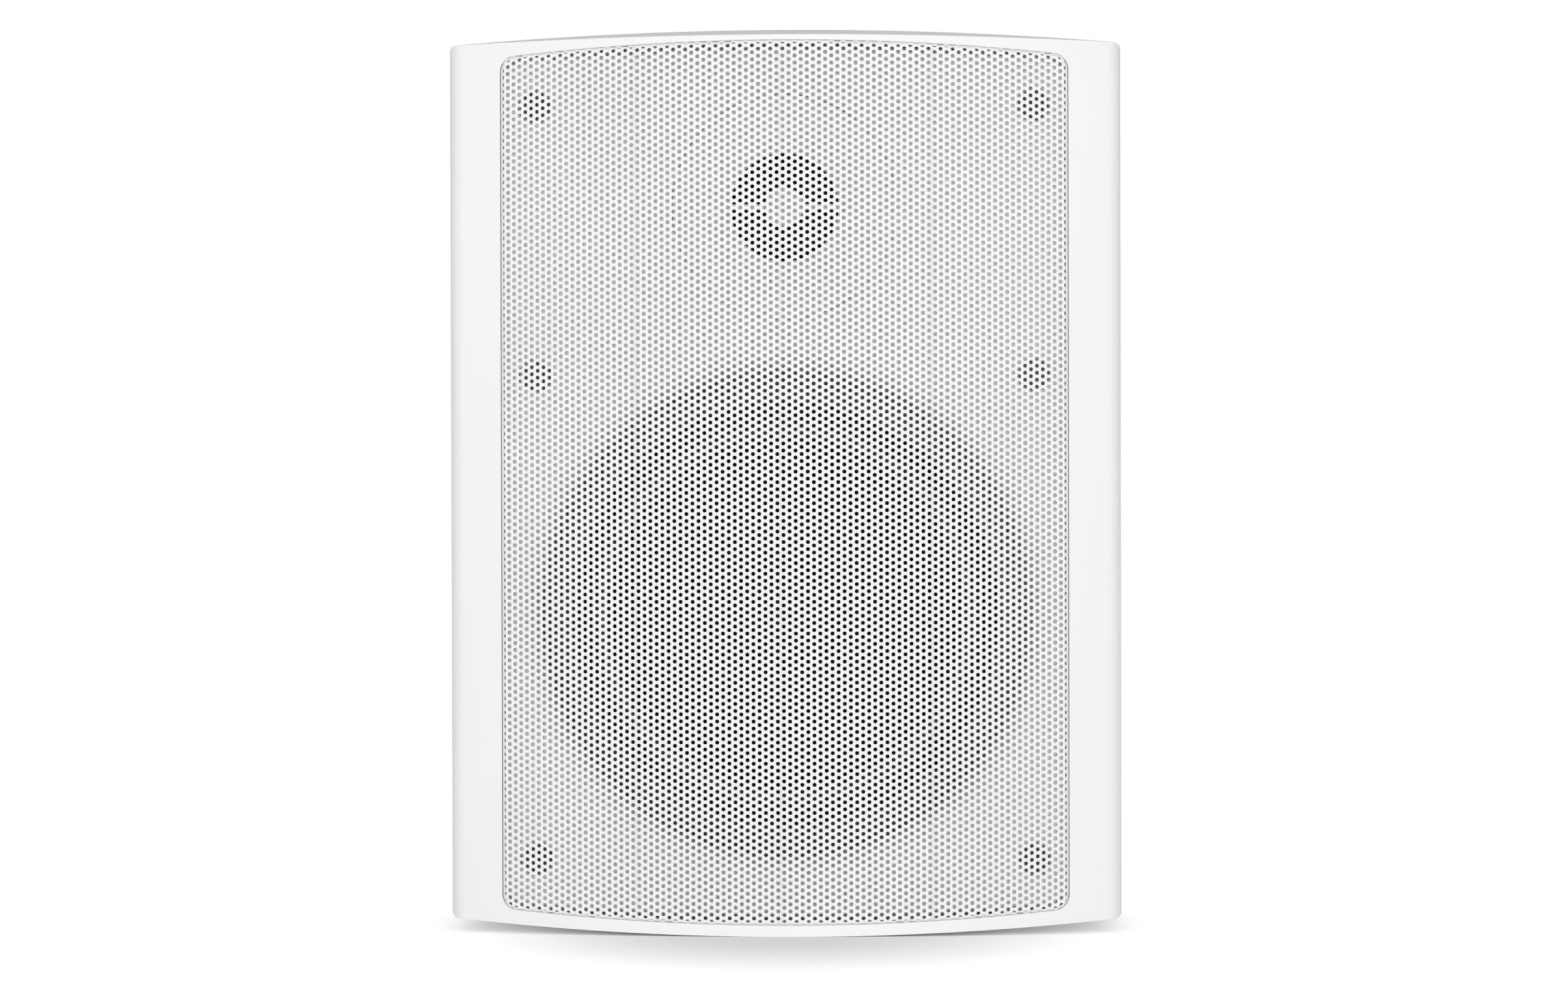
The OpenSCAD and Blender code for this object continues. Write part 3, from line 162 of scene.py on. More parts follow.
# %% Colour, roughness and relief from a pattern
def grain(made, size, detail=2.0, stretch=(1, 1, 1)):
    """Noise with lumps of about size metres; stretch makes them longer along an axis."""
    place = add(made, "ShaderNodeTexCoord")
    mapping = add(made, "ShaderNodeMapping", Scale=[1 / s for s in stretch])
    noise = add(made, "ShaderNodeTexNoise", Scale=1 / size, Detail=detail)
    wire(made, place.outputs["Object"], mapping.inputs["Vector"])
    wire(made, mapping.outputs["Vector"], noise.inputs["Vector"])
    return noise.outputs["Fac"]


def tint(made, fac, low, high, start=0.35, end=0.65):
    """The base colour runs from low to high as fac goes from start to end."""
    ramp = add(made, "ShaderNodeValToRGB")
    ramp.color_ramp.elements[0].position = start
    ramp.color_ramp.elements[1].position = end
    ramp.color_ramp.elements[0].color = (*low, 1)
    ramp.color_ramp.elements[1].color = (*high, 1)
    wire(made, fac, ramp.inputs["Fac"])
    wire(made, ramp.outputs["Color"], shader_of(made).inputs["Base Color"])


def shine(made, fac, low, high):
    """The roughness runs from low to high as fac goes from 0.3 to 0.7, where most of the noise lies."""
    spread = add(made, "ShaderNodeMapRange", From_Min=0.3, From_Max=0.7, To_Min=low, To_Max=high)
    wire(made, fac, spread.inputs["Value"])
    wire(made, spread.outputs["Result"], shader_of(made).inputs["Roughness"])


def relief(made, *layers):
    """Bumps one over the other; each layer is (height, depth in metres, strength)."""
    before = None
    for height, depth, strength in layers:
        bump = add(made, "ShaderNodeBump", Strength=strength, Distance=depth)
        wire(made, height, bump.inputs["Height"])
        if before:
            wire(made, before, bump.inputs["Normal"])
        before = bump.outputs["Normal"]
    wire(made, before, shader_of(made).inputs["Normal"])


# %% [markdown]
# Threads, turns of wire and stacked sheets are stripes, and the cone's mould left rings. At a scale of
# one, Blender's Wave texture repeats every 0.314 m, so that length over the stripe's own size is the
# scale to set.

# %% Stripes and rings
wave_length = 0.31416


def waves(made, size, direction, bent=0.0):
    """Stripes of one size across an axis: X, Y or Z."""
    place = add(made, "ShaderNodeTexCoord")
    wave = add(made, "ShaderNodeTexWave", Scale=wave_length / size, Distortion=bent)
    wave.wave_type = "BANDS"
    wave.bands_direction = direction
    wire(made, place.outputs["Object"], wave.inputs["Vector"])
    return wave.outputs["Fac"]


def rings(made, size, centre):
    """Rings of one size about an axis that runs from front to back through a centre."""
    place = add(made, "ShaderNodeTexCoord")
    mapping = add(made, "ShaderNodeMapping", Location=[-c for c in centre])
    wave = add(made, "ShaderNodeTexWave", Scale=wave_length / size)
    wave.wave_type = "RINGS"
    wave.rings_direction = "Y"
    wire(made, place.outputs["Object"], mapping.inputs["Vector"])
    wire(made, mapping.outputs["Vector"], wave.inputs["Vector"])
    return wave.outputs["Fac"]


def middle(node):
    """The middle of a node's box."""
    low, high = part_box(node)
    return (low + high) / 2


# %% [markdown]
# The housing is moulded in white plastic, with the fine even grain that spark erosion leaves in a
# mould. The sheet is powder coated, which dries to a soft orange peel. Both stay just under pure
# white, so that light and shade can still be told apart on them.

# %% White finishes
def moulded_white(name, colour):
    """White plastic: a broad drift in the colour, a fine grain, and a faint waviness of the skin."""
    made = new_finish(name, colour, 0.5, specular=0.4)
    fine = grain(made, 0.35 * mm, 3)
    broad = grain(made, 60 * mm, 2)
    tint(made, broad, [0.985 * c for c in colour], colour, 0.3, 0.7)
    shine(made, fine, 0.46, 0.58)
    relief(made, (grain(made, 9 * mm, 1), 0.05 * mm, 0.15), (fine, 0.02 * mm, 0.35))
    return made


def powder_coat():
    """Paint that was baked on as powder: the same lumps give the orange peel and its shine."""
    made = new_finish("powder_coat", (0.86, 0.86, 0.855), 0.45, specular=0.45)
    peel = grain(made, 0.5 * mm, 2)
    tint(made, grain(made, 35 * mm, 2), (0.85, 0.85, 0.845), (0.87, 0.87, 0.865))
    shine(made, peel, 0.42, 0.55)
    relief(made, (peel, 0.03 * mm, 0.3))
    return made


white_housing = moulded_white("moulded_white", (0.87, 0.87, 0.865))
white_baffle = moulded_white("moulded_white_baffle", (0.92, 0.92, 0.915))
white_sheet = powder_coat()
print("white finishes:", [made.name for made in (white_housing, white_baffle, white_sheet)])

# %% [markdown]
# Behind the sheet are the dark finishes: black mouldings, foam seals, the rubber surround, the pulp of
# the cone with its short fibres, and the doped silk of the dome. Each gets its own scale of grain,
# because that is what tells rubber from paper when both are black.

# %% Dark finishes
def black_moulding(name, value, low, high):
    """Black plastic of one lightness, with its roughness between low and high."""
    made = new_finish(name, (value, value, value * 1.04), low, specular=0.4)
    fine = grain(made, 0.4 * mm, 3)
    tint(made, grain(made, 20 * mm), [value * 0.85] * 3, [value * 1.15] * 3)
    shine(made, fine, low, high)
    relief(made, (fine, 0.03 * mm, 0.4))
    return made


def foam():
    """Foam rubber: open cells half a millimetre wide."""
    made = new_finish("foam", (0.05, 0.05, 0.05), 0.95, specular=0.1)
    cells = grain(made, 0.5 * mm, 3)
    tint(made, cells, (0.03, 0.03, 0.03), (0.08, 0.08, 0.08))
    relief(made, (cells, 0.15 * mm, 0.8))
    return made


def surround_rubber():
    """Rubber: a cloudy bloom over a fine skin."""
    made = new_finish("surround_rubber", (0.02, 0.02, 0.021), 0.42, specular=0.5)
    bloom = grain(made, 6 * mm, 3)
    tint(made, bloom, (0.016, 0.016, 0.017), (0.028, 0.028, 0.029))
    shine(made, bloom, 0.36, 0.52)
    relief(made, (grain(made, 0.8 * mm), 0.02 * mm, 0.2))
    return made


def cone_pulp():
    """Pressed paper: short fibres over the rings that the mould left."""
    made = new_finish("cone_pulp", (0.022, 0.022, 0.023), 0.75, specular=0.25)
    fibres = grain(made, 0.7 * mm, 4, (1, 3, 1))
    tint(made, fibres, (0.012, 0.012, 0.013), (0.038, 0.038, 0.04))
    shine(made, fibres, 0.65, 0.85)
    relief(made, (rings(made, 5 * mm, middle("woofer_cone")), 0.3 * mm, 0.25), (fibres, 0.06 * mm, 0.6))
    return made


def cloth(name, low, high, thread, roughness):
    """A weave: two sets of stripes across each other, one thread apart."""
    made = new_finish(name, high, roughness, specular=0.2)
    across = waves(made, thread, "X")
    along = waves(made, thread, "Z")
    mix = add(made, "ShaderNodeMath")
    mix.operation = "MULTIPLY"
    wire(made, across, mix.inputs[0])
    wire(made, along, mix.inputs[1])
    tint(made, mix.outputs["Value"], low, high, 0.0, 0.8)
    relief(made, (mix.outputs["Value"], 0.1 * mm, 0.6))
    return made


print("ways to make a dark finish: 5")

# %% [markdown]
# Metals: zinc-plated steel has a cloudy patina and fine scratches from front to back; the core of the
# line transformer is a stack of thin sheets, so it shows as fine stripes; wire shows as a row of thin
# round turns. Ferrite is ground and slightly pitted.

# %% Metal finishes
def turned_zinc():
    """Zinc plate: a grey patina, and fine scratches that run from front to back."""
    made = new_finish("turned_zinc", (0.6, 0.61, 0.62), 0.34, 1.0)
    patina = grain(made, 12 * mm, 3)
    tint(made, patina, (0.55, 0.57, 0.58), (0.66, 0.66, 0.64))
    shine(made, patina, 0.28, 0.42)
    scratch = grain(made, 0.25 * mm, 3, (1, 40, 1))
    relief(made, (scratch, 0.01 * mm, 0.3))
    return made


def black_oxide():
    """Blackened screws, worn brighter here and there."""
    made = new_finish("black_oxide", (0.035, 0.035, 0.038), 0.45, 0.6)
    wear = grain(made, 1.5 * mm, 4)
    tint(made, wear, (0.025, 0.025, 0.027), (0.06, 0.06, 0.065))
    shine(made, wear, 0.35, 0.55)
    relief(made, (wear, 0.02 * mm, 0.3))
    return made


def black_enamel():
    """Black paint on pressed steel, with a slight orange peel."""
    made = new_finish("black_enamel", (0.022, 0.022, 0.024), 0.38)
    peel = grain(made, 1.2 * mm, 2)
    tint(made, grain(made, 15 * mm), (0.018, 0.018, 0.02), (0.03, 0.03, 0.032))
    shine(made, peel, 0.32, 0.45)
    relief(made, (peel, 0.04 * mm, 0.3))
    return made


def ferrite():
    """The magnets' dark ceramic, ground and pitted."""
    made = new_finish("ferrite", (0.06, 0.06, 0.064), 0.6)
    pits = grain(made, 0.9 * mm, 5)
    tint(made, pits, (0.035, 0.035, 0.038), (0.085, 0.085, 0.09))
    shine(made, pits, 0.5, 0.7)
    relief(made, (pits, 0.08 * mm, 0.5))
    return made


def machined_brass():
    """Brass with the turning tool's fine grooves."""
    made = new_finish("machined_brass", (0.78, 0.57, 0.25), 0.3, 1.0)
    patina = grain(made, 5 * mm, 4)
    tint(made, patina, (0.66, 0.46, 0.19), (0.83, 0.63, 0.3))
    shine(made, patina, 0.22, 0.4)
    relief(made, (waves(made, 0.25 * mm, "Y"), 0.01 * mm, 0.3))
    return made


def copper_wire():
    """Enamelled copper: one stripe for each turn of the coil."""
    made = new_finish("copper_wire", (0.72, 0.3, 0.12), 0.3, 1.0)
    turns = waves(made, 0.3 * mm, "Y")
    tint(made, turns, (0.45, 0.16, 0.06), (0.8, 0.36, 0.15), 0.1, 0.7)
    relief(made, (turns, 0.12 * mm, 0.8))
    return made


def stacked_iron():
    """Thin iron sheets, seen on their edges."""
    made = new_finish("stacked_iron", (0.3, 0.3, 0.31), 0.5, 0.9)
    sheets = waves(made, 0.5 * mm, "Y", 0.5)
    tint(made, sheets, (0.16, 0.16, 0.17), (0.36, 0.36, 0.37), 0.2, 0.6)
    relief(made, (sheets, 0.1 * mm, 0.6))
    return made


def spring_steel():
    """Rolled spring steel, with its scratches along Z."""
    made = new_finish("spring_steel", (0.56, 0.56, 0.54), 0.25, 1.0)
    rolled = grain(made, 0.3 * mm, 3, (1, 1, 20))
    shine(made, rolled, 0.18, 0.34)
    relief(made, (rolled, 0.01 * mm, 0.3))
    return made


print("ways to make a metal finish: 8")

# %% [markdown]
# The rest are small things: glossy levers, the wrapped capacitors, fired cement, tape round the
# winding and the nylon shaft. A table then says which finish each of the record's slots gets, so that
# no node is left with a bare colour.

# %% Small finishes and the table of slots
def speckled(name, low, high, size, rough_low, rough_high, depth):
    """A colour between low and high in spots of one size, with a roughness and a relief that follow."""
    made = new_finish(name, high, rough_low)
    spots = grain(made, size, 4)
    tint(made, spots, low, high)
    shine(made, spots, rough_low, rough_high)
    relief(made, (spots, depth, 0.4))
    return made


finish_of_slot = {
    "white_plastic": white_housing,
    "white_steel": white_sheet,
    "black_plastic": black_moulding("black_moulding", 0.035, 0.5, 0.65),
    "knob_plastic": black_moulding("black_grip", 0.03, 0.4, 0.55),
    "shaft_plastic": speckled("nylon", (0.68, 0.67, 0.62), (0.76, 0.75, 0.7), 2 * mm, 0.4, 0.5, 0.02 * mm),
    "lever_red": speckled(
        "red_gloss", (0.4, 0.015, 0.012), (0.5, 0.025, 0.02), 3 * mm, 0.18, 0.28, 0.02 * mm
    ),
    "lever_black": speckled(
        "black_gloss", (0.018, 0.018, 0.018), (0.03, 0.03, 0.03), 3 * mm, 0.18, 0.28, 0.02 * mm
    ),
    "foam": foam(),
    "surround_rubber": surround_rubber(),
    "cone_paper": cone_pulp(),
    "spider_cloth": cloth("spider_cloth", (0.3, 0.17, 0.05), (0.6, 0.4, 0.16), 0.5 * mm, 0.7),
    "dome_silk": cloth("dome_silk", (0.012, 0.012, 0.013), (0.035, 0.035, 0.037), 0.25 * mm, 0.5),
    "black_steel": black_enamel(),
    "zinc_steel": turned_zinc(),
    "ferrite": ferrite(),
    "copper": copper_wire(),
    "black_screws": black_oxide(),
    "brass": machined_brass(),
    "spring_steel": spring_steel(),
    "laminate": cloth("laminate", (0.012, 0.1, 0.035), (0.02, 0.15, 0.05), 0.6 * mm, 0.35),
    "film": speckled("wrapped_film", (0.5, 0.27, 0.03), (0.66, 0.38, 0.06), 4 * mm, 0.25, 0.35, 0.05 * mm),
    "cement": speckled("cement", (0.6, 0.59, 0.55), (0.78, 0.77, 0.73), 0.8 * mm, 0.8, 0.95, 0.1 * mm),
    "iron_sheets": stacked_iron(),
    "winding_tape": speckled(
        "winding_tape", (0.55, 0.44, 0.14), (0.7, 0.58, 0.22), 1.5 * mm, 0.3, 0.5, 0.04 * mm
    ),
}
slot_of_node = {part["node"]: part["material_slot"] for part in frame["record"]["subparts"]}


def finish_of(node):
    """The baffle's white is a touch lighter than the housing's; other nodes take their slot's finish."""
    return white_baffle if node in ("baffle", "tweeter_faceplate") else finish_of_slot[slot_of_node[node]]


for node, thing in frame["nodes"].items():
    thing.data.materials.clear()
    thing.data.materials.append(finish_of(node))
print("finished nodes:", len(slot_of_node))

# %% [markdown]
# The frame's meshes are loose triangles with flat faces. Where a surface curves and shows, a copy is
# merged into one skin, its sharp edges are found by their angle, and a narrow bevel rounds them. A
# moulded edge is never truly sharp, and the thin bright line along it is what makes it look real.

# %% Smooth copies with eased edges
weld = 2e-6
flat_angle = math.radians(0.2)
sharp_angle = math.radians(32)


def eased_copy(node, width):
    """A copy of a node: doubles merged, flat areas joined, sharp edges bevelled by the width."""
    source = frame["nodes"][node]
    data = bpy.data.meshes.new(node + "_skin")
    shape = bmesh.new()
    shape.from_mesh(source.data)
    bmesh.ops.remove_doubles(shape, verts=shape.verts, dist=weld)
    bmesh.ops.dissolve_limit(shape, angle_limit=flat_angle, verts=shape.verts, edges=shape.edges)
    for face in shape.faces:
        face.smooth = True
    for edge in shape.edges:
        edge.smooth = edge.calc_face_angle(0) < sharp_angle
    shape.to_mesh(data)
    shape.free()
    data.materials.append(finish_of(node))
    skin = bpy.data.objects.new(node + "_skin", data)
    bpy.context.scene.collection.objects.link(skin)
    if width:
        bevel = skin.modifiers.new("eased_edges", "BEVEL")
        bevel.width = width
        bevel.segments = 2
        bevel.limit_method = "ANGLE"
        bevel.angle_limit = sharp_angle
    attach(skin, source["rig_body"])
    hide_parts(node)
    return skin


eased = {
    "cabinet": 0.15, "terminal_panel": 0.25, "tap_knob": 0.25, "terminal_block": 0.2, "lever_plus": 0.2,
    "lever_minus": 0.2,
}
rounded_only = (
    "baffle", "tweeter_faceplate", "woofer_cone", "woofer_dust_cap", "woofer_basket", "tweeter_dome",
    "tweeter_surround",
)
for node, width in eased.items():
    eased_copy(node, width * mm)
for node in rounded_only:
    eased_copy(node, 0)
print("smooth copies:", len(eased) + len(rounded_only))

# %% [markdown]
# Under each lever a leaf spring leans out from the bottom of the pocket. When a finger presses the
# lever in, the leaf is pushed flat. Here each spring gets a smooth copy with a mesh of its own, and the
# front of its box is printed.

# %% Springs under the levers
for sign in ("plus", "minus"):
    leaf = eased_copy("clamp_spring_" + sign, 0)
    low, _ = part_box("clamp_spring_" + sign)
    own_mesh(leaf)
    print(leaf.name, "rests at y = %.1f mm" % (low.y / mm))

# %% [markdown]
# From here on, surfaces are worked out as arrays of points. Such an array goes into a mesh in one
# step, which is much quicker than adding its points one by one. The points are at their place in the
# speaker already, so the object itself stays at the origin.

# %% A mesh from arrays
def mesh_piece(name, points, faces, finish, body="housing"):
    """A mesh from arrays of points and of four-cornered faces, riding on a body if one is named."""
    data = bpy.data.meshes.new(name)
    data.vertices.add(len(points))
    data.vertices.foreach_set("co", np.asarray(points, np.float32).ravel())
    data.loops.add(faces.size)
    data.loops.foreach_set("vertex_index", faces.astype(np.int32).ravel())
    data.polygons.add(len(faces))
    data.polygons.foreach_set("loop_start", np.arange(0, faces.size, 4, dtype=np.int32))
    data.update(calc_edges=True)
    data.validate()
    data.materials.append(finish)
    piece = bpy.data.objects.new(name, data)
    bpy.context.scene.collection.objects.link(piece)
    if body:
        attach(piece, body)
    return piece


# %% [markdown]
# Two rings bend when the woofer moves: the rubber surround, whose roll unrolls, and behind it the
# woven spider, whose corrugations stretch. Each is a thin strip seen in section: a centre line with
# half circles in it, given a thickness by moving it to one side and back along the other.

# %% The section of a ring
roll_points = 17
same_place = 1e-6


def rolled_profile(inner, outer, first_roll, last_roll, depth, rolls, side):
    """A centre line of (radius, depth): flat, half circles that bulge to either side in turn, flat."""
    width = (last_roll - first_roll) / rolls
    turn = np.linspace(0, math.pi, roll_points)
    line = [np.array([[inner, depth]])]
    for number in range(rolls):
        middle_r = first_roll + (number + 0.5) * width
        bulge = side * (-1) ** number * width / 2
        line.append(np.stack([middle_r - width / 2 * np.cos(turn), depth + bulge * np.sin(turn)], axis=1))
    line.append(np.array([[outer, depth]]))
    line = np.concatenate(line)
    apart = np.append(True, np.linalg.norm(np.diff(line, axis=0), axis=1) > same_place)
    return line[apart]


def closed_profile(line, thickness):
    """The centre line moved half the thickness to one side, and back along the other side."""
    along = np.gradient(line, axis=0)
    along /= np.linalg.norm(along, axis=1)[:, None]
    normal = np.stack([-along[:, 1], along[:, 0]], axis=1)
    return np.concatenate([line + normal * thickness / 2, (line - normal * thickness / 2)[::-1]])


# %% [markdown]
# The section is turned about the driver's axis. The ring is cut into sectors like a cake, and
# neighbours agree where they meet, so nothing tears.

# %% Rings in sectors
sectors = 24
steps = 4


def turned_sectors(node, line, thickness):
    """The closed section at each angle of each sector: x and z are the radius times cosine and sine."""
    profile = closed_profile(line, thickness)
    axis = middle(node)
    across = np.arange(len(profile))
    after = (across + 1) % len(profile)
    for sector in range(sectors):
        centre_angle = 2 * math.pi * (sector + 0.5) / sectors
        angles = centre_angle + math.pi / sectors * np.linspace(-1, 1, steps + 1)
        radius, depth = profile[None, :, 0], profile[None, :, 1]
        points = np.stack([
            axis.x + radius * np.cos(angles)[:, None],
            np.broadcast_to(depth, (steps + 1, len(profile))),
            axis.z + radius * np.sin(angles)[:, None],
        ], axis=-1).reshape(-1, 3)
        base = len(profile) * np.arange(steps)[:, None]
        quads = np.stack([
            base + across, base + after, base + len(profile) + after, base + len(profile) + across
        ], axis=-1).reshape(-1, 4)
        name = "%s_sector_%02d" % (node, sector + 1)
        piece = mesh_piece(name, points, quads, finish_of(node), None)
        piece.data.shade_smooth()
        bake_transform(piece)
    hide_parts(node)


low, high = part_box("woofer_surround")
rubber_t = 0.8 * mm
cone_edge_r, roll_in_r, roll_out_r = 41.5 * mm, 44 * mm, 51.5 * mm
line = rolled_profile(cone_edge_r, high.x, roll_in_r, roll_out_r, high.y - rubber_t / 2, 1, -1)
turned_sectors("woofer_surround", line, rubber_t)

low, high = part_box("woofer_spider")
cloth_t = 0.6 * mm
spider_in_r, corrugated_in_r, corrugated_out_r = 13 * mm, 15 * mm, 32 * mm
line = rolled_profile(spider_in_r, high.x, corrugated_in_r, corrugated_out_r, (low.y + high.y) / 2, 4, 1)
turned_sectors("woofer_spider", line, cloth_t)

# %% [markdown]
# The grille is one sheet of perforated steel, bowed across the front and folded back round its edge.
# Its holes are 1.8 mm apart and about 1 mm wide. They are eight-sided here, which keeps the mesh
# light: with corners 0.55 mm from the middle, each is as open as a round hole of 1.04 mm. The sheet
# is 0.05 mm larger all round than the solid one, half of the gap round it, so that the dark line along
# its edge stays thin.

# %% Sizes of the sheet
hole_pitch = 1.8 * mm
hole_r = 0.55 * mm
column_step = hole_pitch * math.sqrt(3) / 2
sheet_low, sheet_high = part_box("grille")
sheet_t = 0.6 * mm
bow_r = 325 * mm
bend_r = 2.0 * mm
fold_r = 0.8 * mm
snug = 0.05 * mm
end_r = 780 * mm
corner_r = 4 * mm
sheet_half_w = sheet_high.x + snug
lattice_z = 137.1 * mm
bow_front = sheet_low.y
bow_y = bow_front + bow_r
bend_start = bow_r * math.asin((sheet_half_w - bend_r) / (bow_r - bend_r))
bend_angle = math.pi / 2 - bend_start / bow_r
print("bend starts %.1f mm from the middle, along the bow" % (bend_start / mm))

# %% [markdown]
# A flat point (s, z) is bent in two steps. Seen from above, the sheet is a great bow that ends in a
# tight bend to either side. Its ends are then folded back over a small arc along the curved top and
# bottom edges. Length along the sheet is kept, so the holes keep their distance.

# %% Bow, bend and fold
def plan(s):
    """The place at arc length s, from above: on the bow, then on the side's bend, then straight back."""
    side = np.sign(s)
    s = np.abs(s)
    on_bow = np.minimum(s, bend_start) / bow_r
    bent = np.clip((s - bend_start) / bend_r, 0, bend_angle)
    straight = np.maximum(s - bend_start - bend_r * bend_angle, 0)
    start = bend_start / bow_r
    x = bow_r * np.sin(on_bow) + bend_r * (np.sin(start + bent) - np.sin(start)) * (bent > 0)
    y = bow_y - bow_r * np.cos(on_bow) + bend_r * (np.cos(start) - np.cos(start + bent)) * (bent > 0)
    return side * x, y + straight


def sheet_end(x, high):
    """The height of the sheet's end at x: a long arc whose corners are rounded."""
    x = np.abs(x)
    sign = 1 if high else -1
    top = (sheet_high.z if high else sheet_low.z) + sign * snug
    corner_x = sheet_half_w - corner_r
    drop = end_r - np.sqrt(end_r**2 - np.minimum(x, corner_x) ** 2)
    over = np.clip(x - corner_x, 0, corner_r)
    corner = corner_r - np.sqrt(corner_r**2 - over**2)
    return top - sign * (drop + corner)


def folded(s, z):
    """A flat point's place on the sheet: bent in plan, and past either end folded back on a small arc."""
    x, y = plan(s)
    place_z = z.copy()
    for high in (True, False):
        sign = 1 if high else -1
        start = sheet_end(x, high) - sign * fold_r
        over = np.maximum(sign * (z - start), 0)
        angle = np.minimum(over / fold_r, math.pi / 2)
        back = fold_r * (1 - np.cos(angle)) + np.maximum(over - fold_r * math.pi / 2, 0)
        place_z = np.where(over > 0, start + sign * fold_r * np.sin(angle), place_z)
        y = y + np.where(over > 0, back, 0)
    return np.stack([x, y, place_z], axis=-1)


# %% [markdown]
# The sheet is made flat first, as the real one is: a grid of cells, each a small rectangle round its
# hole. Neighbouring columns stand half a step apart, so a cell has a point at each corner and at each
# side's middle, and all the cells share their border points.

# %% Cells with a hole
most_rows = 160
point_grid = 0.01 * mm


def cell_centres(first, last):
    """Centres (s, z) of the holes in columns first to last, up to half a row past the end of the fold."""
    columns, rows = np.meshgrid(np.arange(first, last), np.arange(-most_rows, most_rows), indexing="ij")
    keep = (columns + rows) % 2 == 0
    s = columns[keep] * column_step
    z = lattice_z - rows[keep] * hole_pitch / 2
    x, _ = plan(s)
    past = fold_r * (math.pi / 2 - 1)
    inside = (z < sheet_end(x, True) + past) & (z > sheet_end(x, False) - past)
    return s[inside], z[inside]


def perforated(s, z):
    """Eight border points and eight points on the hole make eight faces; shared points are welded."""
    around = np.arange(8)
    border = np.array([(1, 0), (1, 1), (0, 1), (-1, 1), (-1, 0), (-1, -1), (0, -1), (1, -1)])
    rim = hole_r * np.stack([np.cos(around * math.pi / 4), np.sin(around * math.pi / 4)], axis=1)
    edge = border * np.array([column_step / 2, hole_pitch / 2])
    centre = np.stack([s, z], axis=1)[:, None, :]
    points = np.concatenate([centre + rim, centre + edge], axis=1).reshape(-1, 2)
    rounded = np.round(points / point_grid).astype(int)
    _, first, shared = np.unique(rounded, axis=0, return_index=True, return_inverse=True)
    base = 16 * np.arange(len(s))[:, None]
    after = (around + 1) % 8
    quads = np.stack([base + around, base + 8 + around, base + 8 + after, base + after], axis=-1)
    return points[first], shared.reshape(-1)[quads.reshape(-1, 4)]


# %% [markdown]
# The flat sheet is cut into upright strips so that no piece grows too heavy. Its points are bent into
# place all at once, and Solidify gives the sheet its thickness, which also makes the holes' walls.

# %% The bent strips of the grille
def thicken(piece):
    """The sheet's thickness, added behind the faces, so that the front stays where it was made."""
    wall = piece.modifiers.new("thickness", "SOLIDIFY")
    wall.thickness = sheet_t
    wall.offset = -1
    wall.use_even_offset = True
    return piece


last_column = int((bend_start + bend_r * bend_angle) / column_step) + 1
strip_ends = np.linspace(-last_column, last_column + 1, 5).astype(int)
for number in range(4):
    s, z = cell_centres(strip_ends[number], strip_ends[number + 1])
    flat, quads = perforated(s, z)
    placed = folded(flat[:, 0], flat[:, 1])
    strip = mesh_piece("grille_strip_%d" % (number + 1), placed, quads, white_sheet)
    thicken(strip)
    print(strip.name, "holes:", len(s))
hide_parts("grille")

# %% [markdown]
# Behind its bend the sheet runs straight back, all the way round, as a plain skirt in the groove
# between the cabinet and the baffle. It is a ribbon: an outline drawn once, with one row of points
# where the bend ends and another where the sheet was cut.

# %% The skirt round the grille
outline_points = 160
skirt_inset = 0.04 * mm
least_skirt = 2 * mm


def sheet_y(x):
    """The sheet's depth at x: the great bow, and near the sides the circle of the bend, by Pythagoras."""
    x = np.abs(x)
    bend_x = sheet_half_w - bend_r
    bend_y = bow_y - np.sqrt((bow_r - bend_r) ** 2 - bend_x**2)
    over = np.clip(x - bend_x, 0, bend_r)
    on_bow = bow_y - np.sqrt(bow_r**2 - np.minimum(x, bend_x) ** 2)
    return np.where(over > 0, bend_y - np.sqrt(bend_r**2 - over**2), on_bow)


def skirt_outline(inset):
    """The edge seen from the front: x is a sine, which puts more points near the corners."""
    turn = np.linspace(-math.pi / 2, math.pi / 2, outline_points)
    x = sheet_half_w * np.sin(turn)
    top = np.stack([x, sheet_end(x, True)], axis=1)
    bottom = np.stack([x, sheet_end(x, False)], axis=1)[::-1]
    loop = np.concatenate([top, bottom])
    centre = np.array([0, (sheet_high.z + sheet_low.z) / 2])
    return loop - inset * np.sign(loop - centre)


loop = skirt_outline(skirt_inset)
bend_end = np.minimum(sheet_y(loop[:, 0]) + fold_r, sheet_high.y - least_skirt)
front = np.stack([loop[:, 0], bend_end, loop[:, 1]], axis=1)
back = np.stack([loop[:, 0], np.full(len(loop), sheet_high.y), loop[:, 1]], axis=1)
number = np.arange(len(loop))
after = (number + 1) % len(loop)
ribbon = np.stack([number, number + len(loop), after + len(loop), after], axis=1)
skirt = mesh_piece("grille_skirt", np.concatenate([front, back]), ribbon, white_sheet)
thicken(skirt)
print("skirt depth in the middle: %.1f mm" % ((sheet_high.y - bend_end.min()) / mm))

# %% [markdown]
# Most of the light is the pale surround, which gives the floor its real soft shadow; the floor's glow,
# faded round the foot, paints more shade into it. A wide panel stands on each side, and a small one right
# behind the camera: its light goes straight through the holes and lands where the camera looks, so that
# the white baffle shows through the sheet.

# %% Lamps
lamp_target = Vector((0, 0, 0.12))


def panel(name, place, size, power):
    """A square lamp that faces the speaker's middle."""
    light = bpy.data.lights.new(name, "AREA")
    light.shape = "SQUARE"
    light.size = size
    light.energy = power
    lamp = bpy.data.objects.new(name, light)
    lamp.location = place
    toward = lamp_target - Vector(place)
    lamp.rotation_euler = toward.to_track_quat("-Z", "Y").to_euler()
    bpy.context.scene.collection.objects.link(lamp)


panel("panel_left", (-1.0, -1.6, 0.5), 1.1, 3.2)
panel("panel_right", (1.0, -1.6, 0.5), 1.1, 3.2)
panel("panel_front", (0.031, -1.14, 0.13), 0.12, 3.5)
print("lamps: 3")

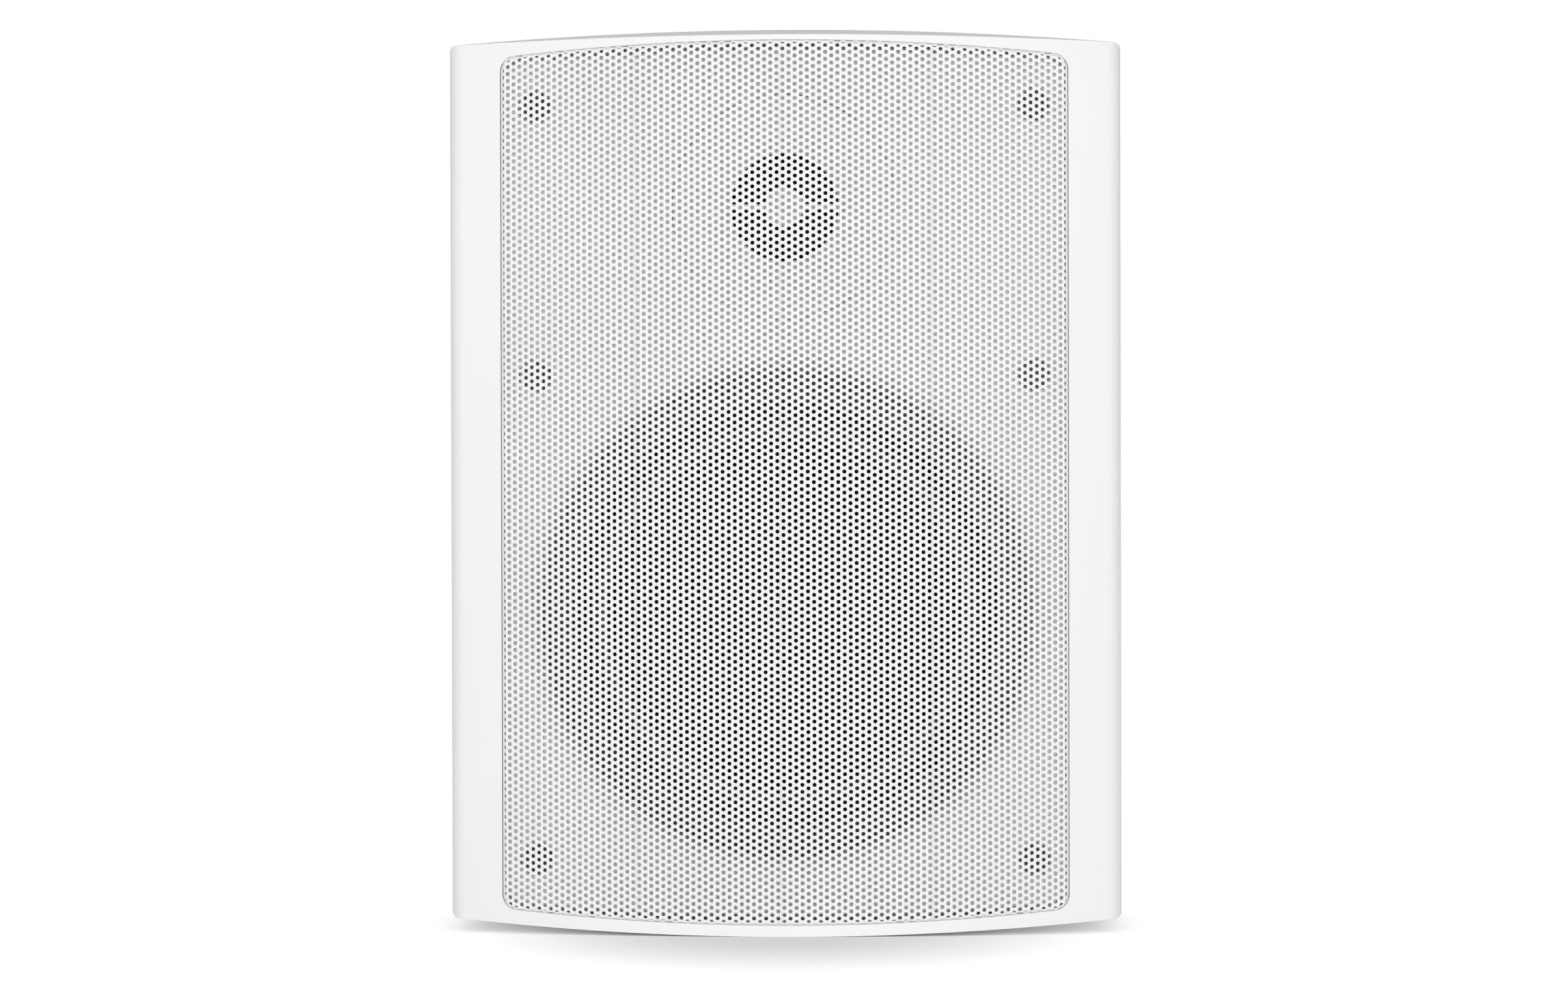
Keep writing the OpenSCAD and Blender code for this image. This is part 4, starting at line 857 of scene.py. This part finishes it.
# %% [markdown]
# The surround gives the object 0.58 of full white, and the camera sees it as full white, so that the
# backdrop is clean and yet no pale surface is washed out.

# %% Surround
surround_light = 0.58
surround_seen = 1.0
world = bpy.data.worlds.new("surround")
bpy.context.scene.world = world
world.use_nodes = True
sky = world.node_tree.nodes["Background"]
path = world.node_tree.nodes.new("ShaderNodeLightPath")
level = world.node_tree.nodes.new("ShaderNodeMapRange")
level.inputs["To Min"].default_value = surround_light
level.inputs["To Max"].default_value = surround_seen
world.node_tree.links.new(path.outputs["Is Camera Ray"], level.inputs["Value"])
world.node_tree.links.new(level.outputs["Result"], sky.inputs["Strength"])
sky.inputs["Color"].default_value = (1, 1, 1, 1)
print("surround: %.2f for light, %.2f to the camera" % (surround_light, surround_seen))

# %% [markdown]
# The floor is pale and matt. To the camera, and in glossy surfaces, it glows a little. The glow fades
# towards the speaker's foot, so that the floor reads as white further out, and round the foot the
# missing glow paints shade over the real soft shadow. The fade is an ellipse about the foot: its Mapping
# node moves the foot to the origin and stretches the floor, so that the length of the vector can drive it.

# %% Floor
foot_y = -0.055
painted_shadow_x, painted_shadow_y = 15, 14
floor_finish = new_finish("floor", (0.9, 0.9, 0.9), 0.9, specular=0.0)
place = add(floor_finish, "ShaderNodeTexCoord")
around = add(
    floor_finish, "ShaderNodeMapping", Location=(0, -foot_y * painted_shadow_y, 0), Scale=(painted_shadow_x, painted_shadow_y, 0)
)
distance = add(floor_finish, "ShaderNodeVectorMath")
distance.operation = "LENGTH"
wire(floor_finish, place.outputs["Object"], around.inputs["Vector"])
wire(floor_finish, around.outputs["Vector"], distance.inputs[0])
# The glow rises from nothing at the foot to full at the ellipse's edge: a painted shadow round the foot.
painted_shadow_glow = add(floor_finish, "ShaderNodeMapRange", From_Min=0.3, From_Max=1.6, To_Max=0.48)
painted_shadow_glow.interpolation_type = "SMOOTHSTEP"
wire(floor_finish, distance.outputs["Value"], painted_shadow_glow.inputs["Value"])
light_path = add(floor_finish, "ShaderNodeLightPath")
seen = add(floor_finish, "ShaderNodeMath")
seen.operation = "MAXIMUM"
wire(floor_finish, light_path.outputs["Is Camera Ray"], seen.inputs[0])
wire(floor_finish, light_path.outputs["Is Glossy Ray"], seen.inputs[1])
strength = add(floor_finish, "ShaderNodeMath")
strength.operation = "MULTIPLY"
wire(floor_finish, seen.outputs["Value"], strength.inputs[0])
wire(floor_finish, painted_shadow_glow.outputs["Result"], strength.inputs[1])
shader_of(floor_finish).inputs["Emission Color"].default_value = (1, 1, 1, 1)
wire(floor_finish, strength.outputs["Value"], shader_of(floor_finish).inputs["Emission Strength"])
corners = np.array([(-6, -4, 0), (6, -4, 0), (6, 12, 0), (-6, 12, 0)], float)
floor_data = bpy.data.meshes.new("floor")
floor_data.from_pydata(corners.tolist(), [], [(0, 1, 2, 3)])
floor_data.materials.append(floor_finish)
floor = bpy.data.objects.new("floor", floor_data)
bpy.context.scene.collection.objects.link(floor)
bpy.context.scene.view_settings.view_transform = "Standard"
print("stage set")
